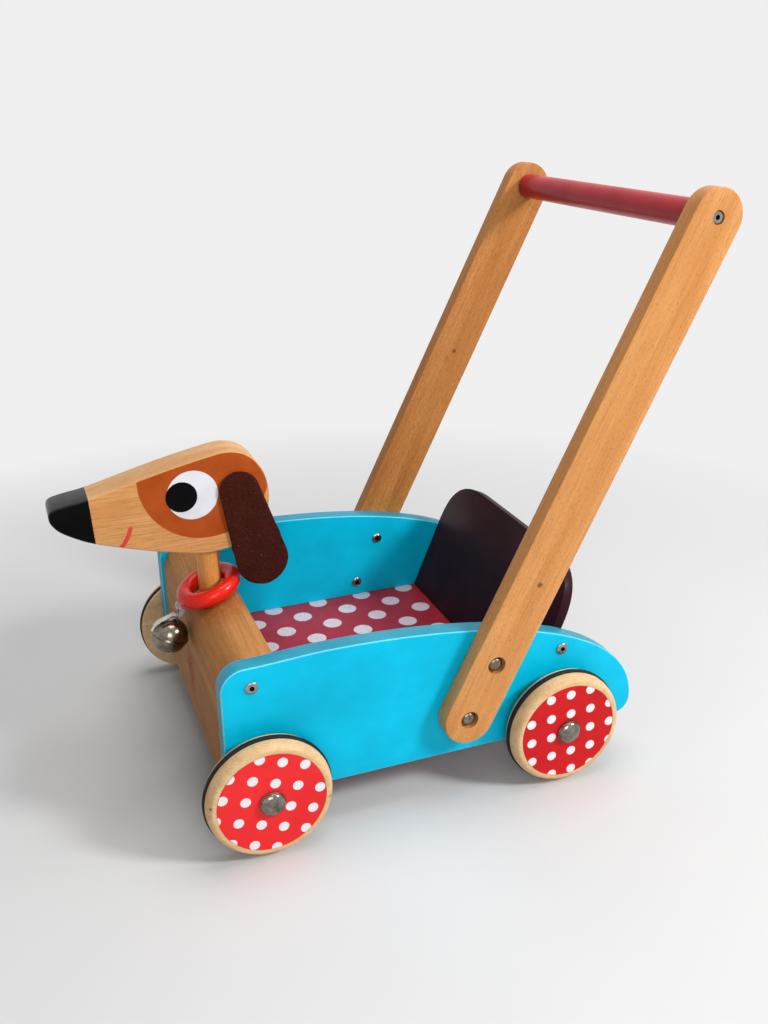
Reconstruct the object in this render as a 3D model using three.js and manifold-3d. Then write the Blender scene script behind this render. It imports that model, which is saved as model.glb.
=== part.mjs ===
// Wooden dog push cart for a toddler. Millimetres, +Z up, the dog looks towards -X.
// The origin is on the floor, under the middle of the whole cart.
import * as THREE from "three";
import { mergeVertices } from "three/addons/utils/BufferGeometryUtils.js";
import Module from "manifold-3d";

const wasm = await Module();
wasm.setup();

// Fits shared by all pieces
const seatGap = 0.3;
const overrun = 4;
const weldReach = 0.0001;

// Tray
const trayWidth = 228;
const wheelbase = 240;
const panelThickness = 15;
const panelNose = 27;
const panelBottom = 36;
const panelFrontTop = 145.5;
const panelCrest = 148;
const panelCrestX = 52.7;
const panelTailReach = 71.3;
const panelFrontRadius = 18;
const panelLowRadius = 14;
const panelBevel = 0.8;
const topHandleShare = 0.512;
const tailHandleShare = 0.71;
const floorTop = 59;
const floorThickness = 9;
const floorLip = 1.9;
const grooveDepth = 5;

// Front block
const blockFront = 24.5;
const blockDepth = 40;
const blockTop = panelFrontTop;
const blockRadius = 30;

// Rear board
const boardFootAhead = 21.6;
const boardLean = 22.5;
const boardHeight = 118;
const boardThickness = 9;
const boardCornerWidth = 58;
const boardCornerHeight = 48;
const cornerHandleShare = 0.7;

// Wheels and axles
const treadRadius = 48;
const wheelRadius = 46.8;
const wheelWidth = 16.5;
const wheelLipWidth = 2.4;
const wheelEdgeDrop = 4.5;
const wheelEdgeRun = 9;
const wheelEdgeSteps = 5;
const wheelGap = 7.5;
const treadWidth = 3.8;
const treadDepth = 3.4;
const treadShoulder = 0.9;
const axleRadius = 4;
const axleStub = 3.6;
const washerRadius = 9;
const faceRadius = 40;
const faceThickness = 0.6;
const capRadius = 9.75;
const capRim = 1.4;
const capHeight = 5.6;
const wheelSides = 32;

// Handles and grip
const handleWidth = 40.5;
const handleThickness = 14;
const handleLean = 26.34;
const handleFootAhead = 81.5;
const handleFootRise = 36;
const handleSpan = 403;
const handleBoltSpacing = 48;
const gripRadius = 10.5;

// Handle bolts
const boltShankRadius = 3;
const boltHeadRadius = 4.9;
const boltHeadHeight = 1.3;
const boltSocketRadius = 2.2;
const boltSocketDepth = 2.4;
const nutWellRadius = 7.2;
const nutWellDepth = 5;
const nutFlangeRadius = 6.4;
const nutRim = 1;
const nutDome = 3.4;
const nutSleeveRadius = 4.2;
const nutWall = 1.1;

// Grip screws
const gripWellRadius = 4.9;
const gripWellDepth = 5;
const gripHeadRadius = 4.4;
const gripHeadHeight = 3.6;
const gripSocketRadius = 2;
const gripSocketDepth = 2.2;
const gripShankRadius = 2.5;
const gripScrewBite = 30;

// Panel screws
const screwHeadRadius = 4.7;
const screwHeadHeight = 1.3;
const screwSocketRadius = 2.1;
const screwSocketDepth = 2.2;
const screwShankRadius = 2.6;
const screwBite = 30;
const frontScrewDrops = { upper: 15.5, lower: 70.5 };
const rearScrewRises = { upper: 55.8, lower: 20 };

// Head and neck
const neckRadius = 9;
const neckGrip = 26;
const neckFree = 40.1;
const headThickness = 30;
const headLength = 163.5;
const headHeight = 80;
const headReach = 115;
const headBevel = 1.2;
const headOutlineShares = [
  [0, 0.568], [0.007, 0.624], [0.034, 0.655], [0.095, 0.68], [0.18, 0.71], [0.396, 0.825], [0.541, 0.899],
  [0.706, 0.971], [0.792, 1], [0.853, 0.99], [0.908, 0.943], [0.951, 0.855], [0.985, 0.73], [1, 0.58],
  [0.997, 0.418], [0.969, 0.243], [0.914, 0.111], [0.823, 0.034], [0.713, 0], [0.605, 0.024],
  [0.425, 0.11], [0.291, 0.19], [0.187, 0.261], [0.119, 0.324], [0.043, 0.421], [0.009, 0.505],
];

// Ears
const earThickness = 3;
const earTopRadius = 15.5;
const earLowRadius = 21;
const earReach = 61.8;
const earLeans = { left: 14, right: 17.5 };
const earBehindNeck = 25;
const earDrop = 31.6;

// Collar ring
const ringRadius = 20.2;
const ringTube = 6.6;
const ringTilt = 19;
const ringSet = 1.2;

// Bell and its cord
const bellRadius = 14.5;
const bellWall = 0.8;
const bellDrop = 30.6;
const bellSide = 4;
const bellSeam = 1.1;
const bellSeamHeight = 1.2;
const bellSlot = 2.6;
const bellSlotRiseShare = 0.42;
const eyeRadius = 3.6;
const eyeWire = 0.7;
const clapperRadius = 3.5;
const bellTilt = 21;
const cordRadius = 0.9;
const cordTailTurn = 62;
const cordEnd = 3;
const cordLoopTurns = { start: -15, end: 285, step: 20 };

// Places on the cord between the bell and the neck, as [x from the neck, y, z from the block's top]
const cordRun = [
  [-25.8, -2.6, -13.6], [-26.3, 5, -8.6], [-22, 8.6, -9.2], [-16, 9.2, -9.1],
];
const cordTurnIn = [-9.8, 10.3, -5];

// Sizes that follow from the ones above
const trayHalf = trayWidth / 2;
const panelFace = trayHalf + panelThickness;
const wheelInner = panelFace + wheelGap;
const wheelOuter = wheelInner + wheelWidth;
const axleHeight = treadRadius;
const axleHoleRadius = axleRadius + seatGap;
const handleInner = panelFace + seatGap;
const handleOuter = handleInner + handleThickness;
const handleHalf = handleWidth / 2;
const handleAngle = THREE.MathUtils.degToRad(handleLean);
const handleFootX = wheelbase - handleFootAhead;
const handleFootZ = panelBottom + handleFootRise;
const gripX = handleFootX + handleSpan * Math.sin(handleAngle);
const gripZ = handleFootZ + handleSpan * Math.cos(handleAngle);
const boardAngle = THREE.MathUtils.degToRad(boardLean);
const boardFoot = wheelbase - boardFootAhead;
const floorEnd = boardFoot + boardThickness / Math.cos(boardAngle) + floorLip;
const blockRear = blockDepth - blockFront;
const neckX = blockDepth / 2 - blockFront;
const headBottom = blockTop + neckFree;
const headNose = neckX - headReach;
const earTopX = neckX + earBehindNeck;
const earTopZ = headBottom + headHeight - earDrop;
const panelTailX = wheelbase + panelTailReach;
const panelTailZ = panelBottom + panelLowRadius;
const sides = { left: -1, right: 1 };

// Turns a geometry into a closed mesh of shared points, without slivers, faces outwards
function weld(geometry) {
  const bare = geometry.clone();
  bare.deleteAttribute("normal");
  bare.deleteAttribute("uv");
  const merged = mergeVertices(bare, weldReach);
  const points = merged.attributes.position;
  const index = merged.index.array;
  const kept = [];
  let volume = 0;
  const a = new THREE.Vector3();
  const b = new THREE.Vector3();
  const c = new THREE.Vector3();
  for (let i = 0; i < index.length; i += 3) {
    const [p, q, r] = [index[i], index[i + 1], index[i + 2]];
    if (p === q || q === r || r === p) continue;
    kept.push([p, q, r]);
    a.fromBufferAttribute(points, p);
    b.fromBufferAttribute(points, q);
    c.fromBufferAttribute(points, r);
    volume += a.dot(b.cross(c));
  }
  const ordered = volume < 0 ? kept.map(([p, q, r]) => [p, r, q]) : kept;
  merged.setIndex(ordered.flat());
  return merged;
}

function toSolid(geometry) {
  const closed = weld(geometry);
  return new wasm.Manifold(new wasm.Mesh({
    numProp: 3,
    vertProperties: new Float32Array(closed.attributes.position.array),
    triVerts: new Uint32Array(closed.index.array),
  }));
}

function toGeometry(solid) {
  const mesh = solid.getMesh();
  const geometry = new THREE.BufferGeometry();
  geometry.setAttribute("position", new THREE.BufferAttribute(new Float32Array(mesh.vertProperties), 3));
  geometry.setIndex(new THREE.BufferAttribute(new Uint32Array(mesh.triVerts), 1));
  geometry.computeVertexNormals();
  return geometry;
}

function cut(geometry, tools) {
  let solid = toSolid(geometry);
  for (const tool of tools) solid = solid.subtract(toSolid(tool));
  return toGeometry(solid);
}

function join(geometry, other) {
  return toGeometry(toSolid(geometry).add(toSolid(other)));
}

// An outline from curves laid end to end, each with its own number of steps
function outlineOf(runs) {
  const points = [];
  for (const [curve, steps] of runs) {
    for (const point of curve.getPoints(steps)) {
      const last = points[points.length - 1];
      if (!last || last.distanceTo(point) > weldReach) points.push(point);
    }
  }
  return new THREE.Shape(points);
}

function arc(x, z, radius, from, to) {
  return new THREE.EllipseCurve(x, z, radius, radius, from, to, to < from);
}

function bezier(start, startPull, endPull, end) {
  const [a, b, c, d] = [start, startPull, endPull, end].map(([x, z]) => new THREE.Vector2(x, z));
  return new THREE.CubicBezierCurve(a, b, c, d);
}

// A slab with an outline in x and z, between two places in y
function slab(shape, yLow, yHigh, bevel = 0) {
  const geometry = new THREE.ExtrudeGeometry(shape, {
    depth: yHigh - yLow - 2 * bevel,
    bevelEnabled: bevel > 0,
    bevelThickness: bevel,
    bevelSize: bevel,
    bevelOffset: -bevel,
    bevelSegments: 1,
  });
  geometry.rotateX(Math.PI / 2);
  geometry.translate(0, yHigh - bevel, 0);
  return geometry;
}

// A turned piece about the y axis: points are [radius, y], and place is the axis' x and z
function turned(points, segments, [x, z] = [0, 0]) {
  const profile = points.map(([r, y]) => new THREE.Vector2(r, y));
  const geometry = new THREE.LatheGeometry(profile, segments);
  geometry.rotateY(Math.PI / segments);
  geometry.translate(x, 0, z);
  return geometry;
}

function rod(radius, yLow, yHigh, segments, place) {
  return turned([[0, yLow], [radius, yLow], [radius, yHigh], [0, yHigh]], segments, place);
}

// A rod between two places in y that may come in either order
function rodBetween(radius, y1, y2, segments, place) {
  return rod(radius, Math.min(y1, y2), Math.max(y1, y2), segments, place);
}

function block(xLow, xHigh, yLow, yHigh, zLow, zHigh) {
  const geometry = new THREE.BoxGeometry(xHigh - xLow, yHigh - yLow, zHigh - zLow);
  geometry.translate((xLow + xHigh) / 2, (yLow + yHigh) / 2, (zLow + zHigh) / 2);
  return geometry;
}

// A hex socket that opens towards y = mouth, and ends at y = floor
function hexSocket(radius, floor, mouth, place) {
  return rodBetween(radius, floor, mouth + Math.sign(mouth - floor) * overrun, 6, place);
}

// Mirrors a turned profile to the side it is meant for
function onSide(side, points) {
  return points.map(([r, y]) => [r, side * y]);
}

const finishes = {
  blue: { color: 0x0fb4dc, roughness: 0.38 },
  beech: { color: 0xd9a066, roughness: 0.55 },
  paleBeech: { color: 0xe2c08c, roughness: 0.6 },
  neckBeech: { color: 0xcf8a45, roughness: 0.5 },
  dottedRed: { color: 0xb3242c, roughness: 0.45 },
  faceRed: { color: 0xe8222c, roughness: 0.4 },
  gripRed: { color: 0xb0202c, roughness: 0.35 },
  aubergine: { color: 0x2a0f1a, roughness: 0.4 },
  rubber: { color: 0x101012, roughness: 0.7 },
  steel: { color: 0xb4b4b4, roughness: 0.3, metalness: 1 },
  chrome: { color: 0xd8d8d8, roughness: 0.12, metalness: 1 },
  nylon: { color: 0xe6e6e0, roughness: 0.5 },
  felt: { color: 0x3d1f1c, roughness: 0.95 },
  ringRed: { color: 0xd41a1e, roughness: 0.22 },
  cotton: { color: 0xeeeae0, roughness: 0.9 },
};

const cart = new THREE.Group();

function addPiece(name, geometry, finish) {
  const mesh = new THREE.Mesh(weld(geometry), new THREE.MeshStandardMaterial(finishes[finish]));
  mesh.geometry.computeVertexNormals();
  mesh.name = name;
  cart.add(mesh);
  return mesh;
}

// Places of the fasteners, as [x, z]
function alongHandle(rise) {
  return [handleFootX + rise * Math.sin(handleAngle), handleFootZ + rise * Math.cos(handleAngle)];
}

function insideBoard(rise) {
  const middle = boardThickness / 2;
  return [
    boardFoot + rise * Math.sin(boardAngle) + middle * Math.cos(boardAngle),
    floorTop + rise * Math.cos(boardAngle) - middle * Math.sin(boardAngle),
  ];
}

const handleBolts = { lower: alongHandle(0), upper: alongHandle(handleBoltSpacing) };
const panelScrews = {
  front_upper: [neckX, blockTop - frontScrewDrops.upper],
  front_lower: [neckX, blockTop - frontScrewDrops.lower],
  rear_upper: insideBoard(rearScrewRises.upper),
  rear_lower: insideBoard(rearScrewRises.lower),
};
const axlePlaces = { front: [0, axleHeight], rear: [wheelbase, axleHeight] };

// Side panels: a long low arch with a round nose and a tail round the rear wheel
function panelShape() {
  const tailRun = panelTailX - panelCrestX;
  const tailDrop = panelCrest - panelTailZ;
  const noseTop = panelFrontRadius - panelNose;
  const noseRun = (panelCrestX - noseTop) / 3;
  const nose = bezier(
    [noseTop, panelFrontTop], [noseTop + noseRun, panelFrontTop],
    [panelCrestX - noseRun, panelCrest], [panelCrestX, panelCrest],
  );
  const tail = bezier(
    [panelCrestX, panelCrest], [panelCrestX + tailRun * topHandleShare, panelCrest],
    [panelTailX, panelTailZ + tailDrop * tailHandleShare], [panelTailX, panelTailZ],
  );
  return outlineOf([
    [arc(noseTop, panelFrontTop - panelFrontRadius, panelFrontRadius, Math.PI, Math.PI / 2), 7],
    [nose, 4],
    [tail, 20],
    [arc(panelTailX - panelLowRadius, panelTailZ, panelLowRadius, 0, -Math.PI / 2), 6],
    [arc(panelLowRadius - panelNose, panelTailZ, panelLowRadius, -Math.PI / 2, -Math.PI), 6],
  ]);
}

function panelHoles() {
  const [low, high] = [trayHalf - overrun, panelFace + overrun];
  const holes = [];
  for (const place of Object.values(handleBolts)) {
    holes.push(rod(boltShankRadius + seatGap, low, high, 12, place));
  }
  for (const place of Object.values(panelScrews)) {
    holes.push(rod(screwShankRadius + seatGap, low, high, 8, place));
  }
  for (const place of Object.values(axlePlaces)) {
    holes.push(rod(axleHoleRadius, low, high, 16, place));
  }
  holes.push(block(
    blockRear, floorEnd + seatGap, low, trayHalf + grooveDepth,
    floorTop - floorThickness - seatGap, floorTop + seatGap,
  ));
  return holes;
}

function addSidePanels() {
  const body = cut(slab(panelShape(), trayHalf, panelFace, panelBevel), panelHoles());
  for (const [side, sign] of Object.entries(sides)) {
    addPiece(`side_panel_${side}`, mirrored(body, sign), "blue");
  }
}

// The right-hand form, or its mirror image for the left-hand side
function mirrored(geometry, sign) {
  const copy = geometry.clone();
  copy.scale(1, sign, 1);
  return copy;
}

function addFloor() {
  const half = trayHalf + grooveDepth - seatGap;
  const board = block(blockRear + seatGap, floorEnd, -half, half, floorTop - floorThickness, floorTop);
  addPiece("floor_board", board, "dottedRed");
}

// Front block: its upper front edge is rounded over, and the neck and the axle pass into it
function blockShape() {
  const corners = [[-blockFront, panelBottom], [blockRear, panelBottom], [blockRear, blockTop]];
  const shape = outlineOf([
    [arc(blockRadius - blockFront, blockTop - blockRadius, blockRadius, Math.PI / 2, Math.PI), 12],
  ]);
  for (const [x, z] of corners) shape.lineTo(x, z);
  return shape;
}

function upright(radius, zLow, zHigh, x, segments) {
  const geometry = new THREE.CylinderGeometry(radius, radius, zHigh - zLow, segments);
  geometry.rotateX(Math.PI / 2);
  geometry.translate(x, 0, (zLow + zHigh) / 2);
  return geometry;
}

function addFrontBlock() {
  const end = trayHalf - seatGap;
  const tools = [
    rod(axleHoleRadius, -end - overrun, end + overrun, 16, axlePlaces.front),
    upright(neckRadius + seatGap, blockTop - neckGrip - seatGap, blockTop + overrun, neckX, 24),
  ];
  for (const sign of Object.values(sides)) {
    for (const place of [panelScrews.front_upper, panelScrews.front_lower]) {
      tools.push(screwHole(sign, end, place));
    }
  }
  addPiece("front_block", cut(slab(blockShape(), -end, end), tools), "beech");
}

// The blind hole that a panel screw bites into, from the end of a cross piece
function screwHole(sign, end, place) {
  const depth = end - screwBite - seatGap;
  return rodBetween(screwShankRadius + seatGap, sign * depth, sign * (end + overrun), 8, place);
}

function addRearBoard() {
  const half = trayHalf - seatGap;
  const pull = 1 - cornerHandleShare;
  const shoulder = boardHeight - boardCornerHeight;
  const corner = (sign) => [
    [sign * half, shoulder],
    [sign * half, boardHeight - boardCornerHeight * pull],
    [sign * (half - boardCornerWidth * pull), boardHeight],
    [sign * (half - boardCornerWidth), boardHeight],
  ];
  const outline = outlineOf([
    [bezier(...corner(1)), 9],
    [bezier(...corner(-1).reverse()), 9],
  ]);
  outline.lineTo(-half, -boardThickness);
  outline.lineTo(half, -boardThickness);
  const board = new THREE.ExtrudeGeometry(outline, { depth: boardThickness, bevelEnabled: false });
  const across = new THREE.Vector3(0, 1, 0);
  const upwards = new THREE.Vector3(Math.sin(boardAngle), 0, Math.cos(boardAngle));
  const place = new THREE.Matrix4().makeBasis(across, upwards, across.clone().cross(upwards));
  board.applyMatrix4(place.setPosition(boardFoot, 0, floorTop));
  const foot = floorTop + seatGap;
  const tools = [
    block(
      boardFoot - boardHeight, boardFoot + boardHeight, -trayWidth, trayWidth,
      foot - boardHeight, foot,
    ),
  ];
  for (const sign of Object.values(sides)) {
    for (const spot of [panelScrews.rear_upper, panelScrews.rear_lower]) {
      tools.push(screwHole(sign, half, spot));
    }
  }
  addPiece("rear_board", cut(board, tools), "aubergine");
}

// Wheels, measured outwards from the face that looks at the panel
function wheelProfile() {
  const grooveOut = wheelLipWidth + treadWidth + 2 * seatGap;
  const grooveFloor = treadRadius - treadDepth - seatGap;
  const recess = wheelWidth - faceThickness - seatGap;
  const edge = [];
  for (let i = 0; i <= wheelEdgeSteps; i++) {
    const turn = (i / wheelEdgeSteps) * Math.PI / 2;
    const inwards = wheelEdgeDrop * (1 - Math.cos(turn));
    edge.push([wheelRadius - inwards, wheelWidth - wheelEdgeRun * (1 - Math.sin(turn))]);
  }
  return [
    [axleHoleRadius, 0],
    [wheelRadius, 0],
    [wheelRadius, wheelLipWidth],
    [grooveFloor, wheelLipWidth],
    [grooveFloor, grooveOut],
    [wheelRadius, grooveOut],
    ...edge,
    [faceRadius + seatGap, wheelWidth],
    [faceRadius + seatGap, recess],
    [axleHoleRadius, recess],
    [axleHoleRadius, 0],
  ];
}

// The tread's flats, not its corners, lie at the tread radius, so a flat stands on the floor
function treadProfile() {
  const stretch = 1 / Math.cos(Math.PI / wheelSides);
  const [inside, outside] = [wheelLipWidth + seatGap, wheelLipWidth + seatGap + treadWidth];
  const bore = treadRadius - treadDepth;
  const crown = treadRadius * stretch;
  return [
    [bore, inside],
    [crown - treadShoulder, inside],
    [crown, inside + treadShoulder],
    [crown, outside - treadShoulder],
    [crown - treadShoulder, outside],
    [bore, outside],
    [bore, inside],
  ];
}

function facePlateProfile() {
  return [
    [axleHoleRadius, wheelWidth - faceThickness],
    [faceRadius, wheelWidth - faceThickness],
    [faceRadius, wheelWidth],
    [axleHoleRadius, wheelWidth],
    [axleHoleRadius, wheelWidth - faceThickness],
  ];
}

// A domed cap pressed on the axle's end, hollow where the axle's stub goes in
function hubCapProfile() {
  const start = wheelWidth + seatGap;
  const dome = capHeight - capRim;
  const points = [[axleHoleRadius, start], [capRadius, start], [capRadius, start + capRim]];
  const steps = 4;
  for (let i = 1; i <= steps; i++) {
    const angle = (i / steps) * Math.PI / 2;
    points.push([capRadius * Math.cos(angle), start + capRim + dome * Math.sin(angle)]);
  }
  points[points.length - 1][0] = 0;
  points.push([0, start + axleStub + seatGap]);
  points.push([axleHoleRadius, start + axleStub + seatGap]);
  points.push([axleHoleRadius, start]);
  return points;
}

function washerProfile() {
  const [low, high] = [panelFace + seatGap, wheelInner - seatGap];
  return [
    [axleHoleRadius, low], [washerRadius, low], [washerRadius, high], [axleHoleRadius, high],
    [axleHoleRadius, low],
  ];
}

function addWheels() {
  const outwards = (points) => points.map(([r, y]) => [r, wheelInner + y]);
  for (const [end, place] of Object.entries(axlePlaces)) {
    for (const [side, sign] of Object.entries(sides)) {
      const tag = `${end}_${side}`;
      const fitted = (points, segments) => turned(onSide(sign, points), segments, place);
      addPiece(`wheel_${tag}`, fitted(outwards(wheelProfile()), wheelSides), "paleBeech");
      addPiece(`tread_${tag}`, fitted(outwards(treadProfile()), wheelSides), "rubber");
      addPiece(`wheel_face_${tag}`, fitted(outwards(facePlateProfile()), wheelSides), "faceRed");
      addPiece(`hub_cap_${tag}`, fitted(outwards(hubCapProfile()), 16), "chrome");
      addPiece(`wheel_washer_${tag}`, fitted(washerProfile(), 16), "nylon");
    }
    const reach = wheelOuter + seatGap + axleStub;
    addPiece(`axle_${end}`, rod(axleRadius, -reach, reach, 16, place), "steel");
  }
}

// Handles: flat bars with round ends, bolted outside the panels
function handleShape() {
  return outlineOf([
    [arc(gripX, gripZ, handleHalf, -handleAngle, Math.PI - handleAngle), 14],
    [arc(handleFootX, handleFootZ, handleHalf, Math.PI - handleAngle, 2 * Math.PI - handleAngle), 14],
  ]);
}

function addHandles() {
  const grip = [gripX, gripZ];
  const [low, high] = [handleInner - overrun, handleOuter + overrun];
  const tools = [
    rod(gripShankRadius + seatGap, low, high, 12, grip),
    rod(gripWellRadius, handleOuter - gripWellDepth, high, 18, grip),
  ];
  for (const place of Object.values(handleBolts)) {
    tools.push(rod(nutSleeveRadius + seatGap, low, high, 14, place));
    tools.push(rod(nutWellRadius, handleOuter - nutWellDepth, high, 20, place));
  }
  const body = cut(slab(handleShape(), handleInner, handleOuter, panelBevel), tools);
  for (const [side, sign] of Object.entries(sides)) {
    addPiece(`handle_${side}`, mirrored(body, sign), "beech");
  }
}

function addGrip() {
  const end = handleInner - seatGap;
  const place = [gripX, gripZ];
  const depth = end - gripScrewBite - seatGap;
  const tools = Object.values(sides).map((sign) => (
    rodBetween(gripShankRadius + seatGap, sign * depth, sign * (end + overrun), 12, place)
  ));
  addPiece("grip_bar", cut(rod(gripRadius, -end, end, 24, place), tools), "gripRed");
}

// A bolt from inside the tray and a domed nut in the handle's well
function boltProfile() {
  const headLow = trayHalf - seatGap - boltHeadHeight;
  const headHigh = trayHalf - seatGap;
  const tip = handleOuter - nutWellDepth + seatGap;
  return [
    [0, headLow], [boltHeadRadius - seatGap, headLow], [boltHeadRadius, headLow + seatGap],
    [boltHeadRadius, headHigh], [boltShankRadius, headHigh], [boltShankRadius, tip], [0, tip],
  ];
}

function nutProfile() {
  const seat = handleOuter - nutWellDepth + seatGap;
  const bore = boltShankRadius + seatGap;
  const top = seat + nutRim;
  const rise = nutDome * Math.SQRT1_2;
  const run = nutFlangeRadius * Math.SQRT1_2;
  return [
    [bore, handleInner + nutWall], [nutSleeveRadius, handleInner + nutWall], [nutSleeveRadius, seat],
    [nutFlangeRadius, seat], [nutFlangeRadius, top], [run, top + rise], [0, top + nutDome],
    [0, seat + 2 * seatGap], [bore, seat + 2 * seatGap], [bore, handleInner + nutWall],
  ];
}

function addHandleBolts() {
  const mouth = trayHalf - seatGap - boltHeadHeight;
  for (const [side, sign] of Object.entries(sides)) {
    for (const [level, place] of Object.entries(handleBolts)) {
      const bolt = turned(onSide(sign, boltProfile()), 12, place);
      const socket = hexSocket(boltSocketRadius, sign * (mouth + boltSocketDepth), sign * mouth, place);
      addPiece(`handle_bolt_${side}_${level}`, cut(bolt, [socket]), "steel");
      addPiece(`handle_nut_${side}_${level}`, turned(onSide(sign, nutProfile()), 14, place), "chrome");
    }
  }
}

function addGripScrews() {
  const seat = handleOuter - gripWellDepth + seatGap;
  const top = seat + gripHeadHeight;
  const tip = handleInner - seatGap - gripScrewBite;
  const place = [gripX, gripZ];
  const profile = [
    [0, tip], [gripShankRadius, tip], [gripShankRadius, seat], [gripHeadRadius, seat],
    [gripHeadRadius, top - seatGap], [gripHeadRadius - seatGap, top], [0, top],
  ];
  for (const [side, sign] of Object.entries(sides)) {
    const screw = turned(onSide(sign, profile), 12, place);
    const socket = hexSocket(gripSocketRadius, sign * (top - gripSocketDepth), sign * top, place);
    addPiece(`grip_screw_${side}`, cut(screw, [socket]), "steel");
  }
}

function addPanelScrews() {
  const seat = panelFace + seatGap;
  const top = seat + screwHeadHeight;
  const tip = trayHalf - seatGap - screwBite;
  const profile = [
    [0, tip], [screwShankRadius, tip], [screwShankRadius, seat], [screwHeadRadius, seat],
    [screwHeadRadius, top - seatGap], [screwHeadRadius - seatGap, top], [0, top],
  ];
  for (const [side, sign] of Object.entries(sides)) {
    for (const [spot, place] of Object.entries(panelScrews)) {
      const screw = turned(onSide(sign, profile), 12, place);
      const socket = hexSocket(screwSocketRadius, sign * (top - screwSocketDepth), sign * top, place);
      addPiece(`panel_screw_${side}_${spot}`, cut(screw, [socket]), "steel");
    }
  }
}

// Head: a flat board in profile, glued on the neck dowel
function headShape() {
  return new THREE.Shape(headOutlineShares.map(([along, up]) => (
    new THREE.Vector2(headNose + along * headLength, headBottom + up * headHeight)
  )));
}

function addHead() {
  const half = headThickness / 2;
  const socketTop = headBottom + neckGrip + seatGap;
  const hole = upright(neckRadius + seatGap, headBottom - overrun, socketTop, neckX, 24);
  addPiece("head_block", cut(slab(headShape(), -half, half, headBevel), [hole]), "beech");
  const neck = upright(neckRadius, blockTop - neckGrip, headBottom + neckGrip, neckX, 24);
  addPiece("neck_dowel", neck, "neckBeech");
}

// Ears: felt flaps, two round ends joined by straight sides
function earShape(leanDegrees) {
  const lean = THREE.MathUtils.degToRad(leanDegrees);
  const taper = Math.asin((earLowRadius - earTopRadius) / earReach);
  const lowX = earTopX + earReach * Math.sin(lean);
  const lowZ = earTopZ - earReach * Math.cos(lean);
  const [start, half] = [lean - taper, Math.PI + 2 * taper];
  return outlineOf([
    [arc(earTopX, earTopZ, earTopRadius, start, start + half), 12],
    [arc(lowX, lowZ, earLowRadius, start + half, start + 2 * Math.PI), 14],
  ]);
}

function addEars() {
  const inside = headThickness / 2 + seatGap;
  for (const [side, sign] of Object.entries(sides)) {
    const flap = slab(earShape(earLeans[side]), inside, inside + earThickness);
    addPiece(`ear_${side}`, mirrored(flap, sign), "felt");
  }
}

// The collar ring lies tilted on the block's rounded top: it is lowered until its tube is
// one seat gap above the block
const ringX = neckX - ringSet;
const ringAngle = THREE.MathUtils.degToRad(ringTilt);

function ringPoint(turn) {
  const forward = ringRadius * Math.cos(turn);
  return [ringX - forward * Math.cos(ringAngle), -forward * Math.sin(ringAngle)];
}

function ringRestHeight() {
  const steps = 72;
  const clear = ringTube + seatGap;
  const corner = { x: blockRadius - blockFront, z: blockTop - blockRadius };
  let height = 0;
  for (let i = 0; i < steps; i++) {
    const [x, drop] = ringPoint((i / steps) * 2 * Math.PI);
    const out = Math.min(corner.x - x, blockRadius + clear);
    const rise = Math.sqrt((blockRadius + clear) ** 2 - out ** 2);
    const needed = x < corner.x ? corner.z + rise : blockTop + clear;
    height = Math.max(height, needed - drop);
  }
  return height;
}

const ringZ = ringRestHeight();

function addCollarRing() {
  const ring = new THREE.TorusGeometry(ringRadius, ringTube, 10, 28);
  ring.rotateY(-ringAngle);
  ring.translate(ringX, 0, ringZ);
  addPiece("collar_ring", ring, "ringRed");
}

// Bell: two pressed halves with a seam, an eye on top and crossed slots below. It is drawn
// upright about its own middle, then tilted where it leans on the block
const bellX = -blockFront - seatGap - bellRadius - bellSeam;
const bellZ = blockTop - bellDrop;
const bellAngle = THREE.MathUtils.degToRad(bellTilt);
const eyeRise = bellRadius - bellWall / 2 + eyeRadius + eyeWire;

function shellProfile(up) {
  const steps = 5;
  const quarter = (radius) => {
    const start = Math.asin(bellSeamHeight / radius);
    const points = [];
    for (let i = 0; i <= steps; i++) {
      const angle = start + (i / steps) * (Math.PI / 2 - start);
      points.push([radius * Math.cos(angle), up * radius * Math.sin(angle)]);
    }
    points[steps][0] = 0;
    return points;
  };
  const inner = bellRadius - bellWall;
  const seam = seatGap / 2;
  const flange = [
    [inner, up * seam], [bellRadius + bellSeam, up * seam],
    [bellRadius + bellSeam, up * bellSeamHeight / 2], [bellRadius, up * bellSeamHeight / 2],
  ];
  const outer = quarter(bellRadius);
  const hollow = quarter(inner).reverse();
  return [...flange, ...outer, ...hollow, flange[0]];
}

function bellShell(up) {
  const profile = shellProfile(up).map(([r, z]) => new THREE.Vector2(r, z));
  const shell = new THREE.LatheGeometry(profile, 18);
  shell.rotateX(Math.PI / 2);
  return shell;
}

function bellEye() {
  const eye = new THREE.TorusGeometry(eyeRadius, eyeWire, 6, 12);
  eye.rotateY(Math.PI / 2);
  eye.translate(0, 0, eyeRise);
  return eye;
}

function bellSlots() {
  const [half, reach] = [bellSlot / 2, bellRadius + overrun];
  const high = -bellRadius * bellSlotRiseShare;
  return [
    block(-reach, reach, -half, half, -reach, high),
    block(-half, half, -reach, reach, -reach, high),
  ];
}

function hung(geometry) {
  geometry.rotateY(bellAngle);
  geometry.translate(bellX, -bellSide, bellZ);
  return geometry;
}

function addBell() {
  addPiece("bell_upper_shell", hung(join(bellShell(1), bellEye())), "chrome");
  addPiece("bell_lower_shell", hung(cut(bellShell(-1), bellSlots())), "chrome");
  const clapper = new THREE.SphereGeometry(clapperRadius, 10, 7);
  clapper.rotateX(Math.PI / 2);
  clapper.translate(bellX, -bellSide, bellZ - bellRadius + bellWall + clapperRadius + 2 * seatGap);
  addPiece("bell_clapper", clapper, "steel");
}

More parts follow.
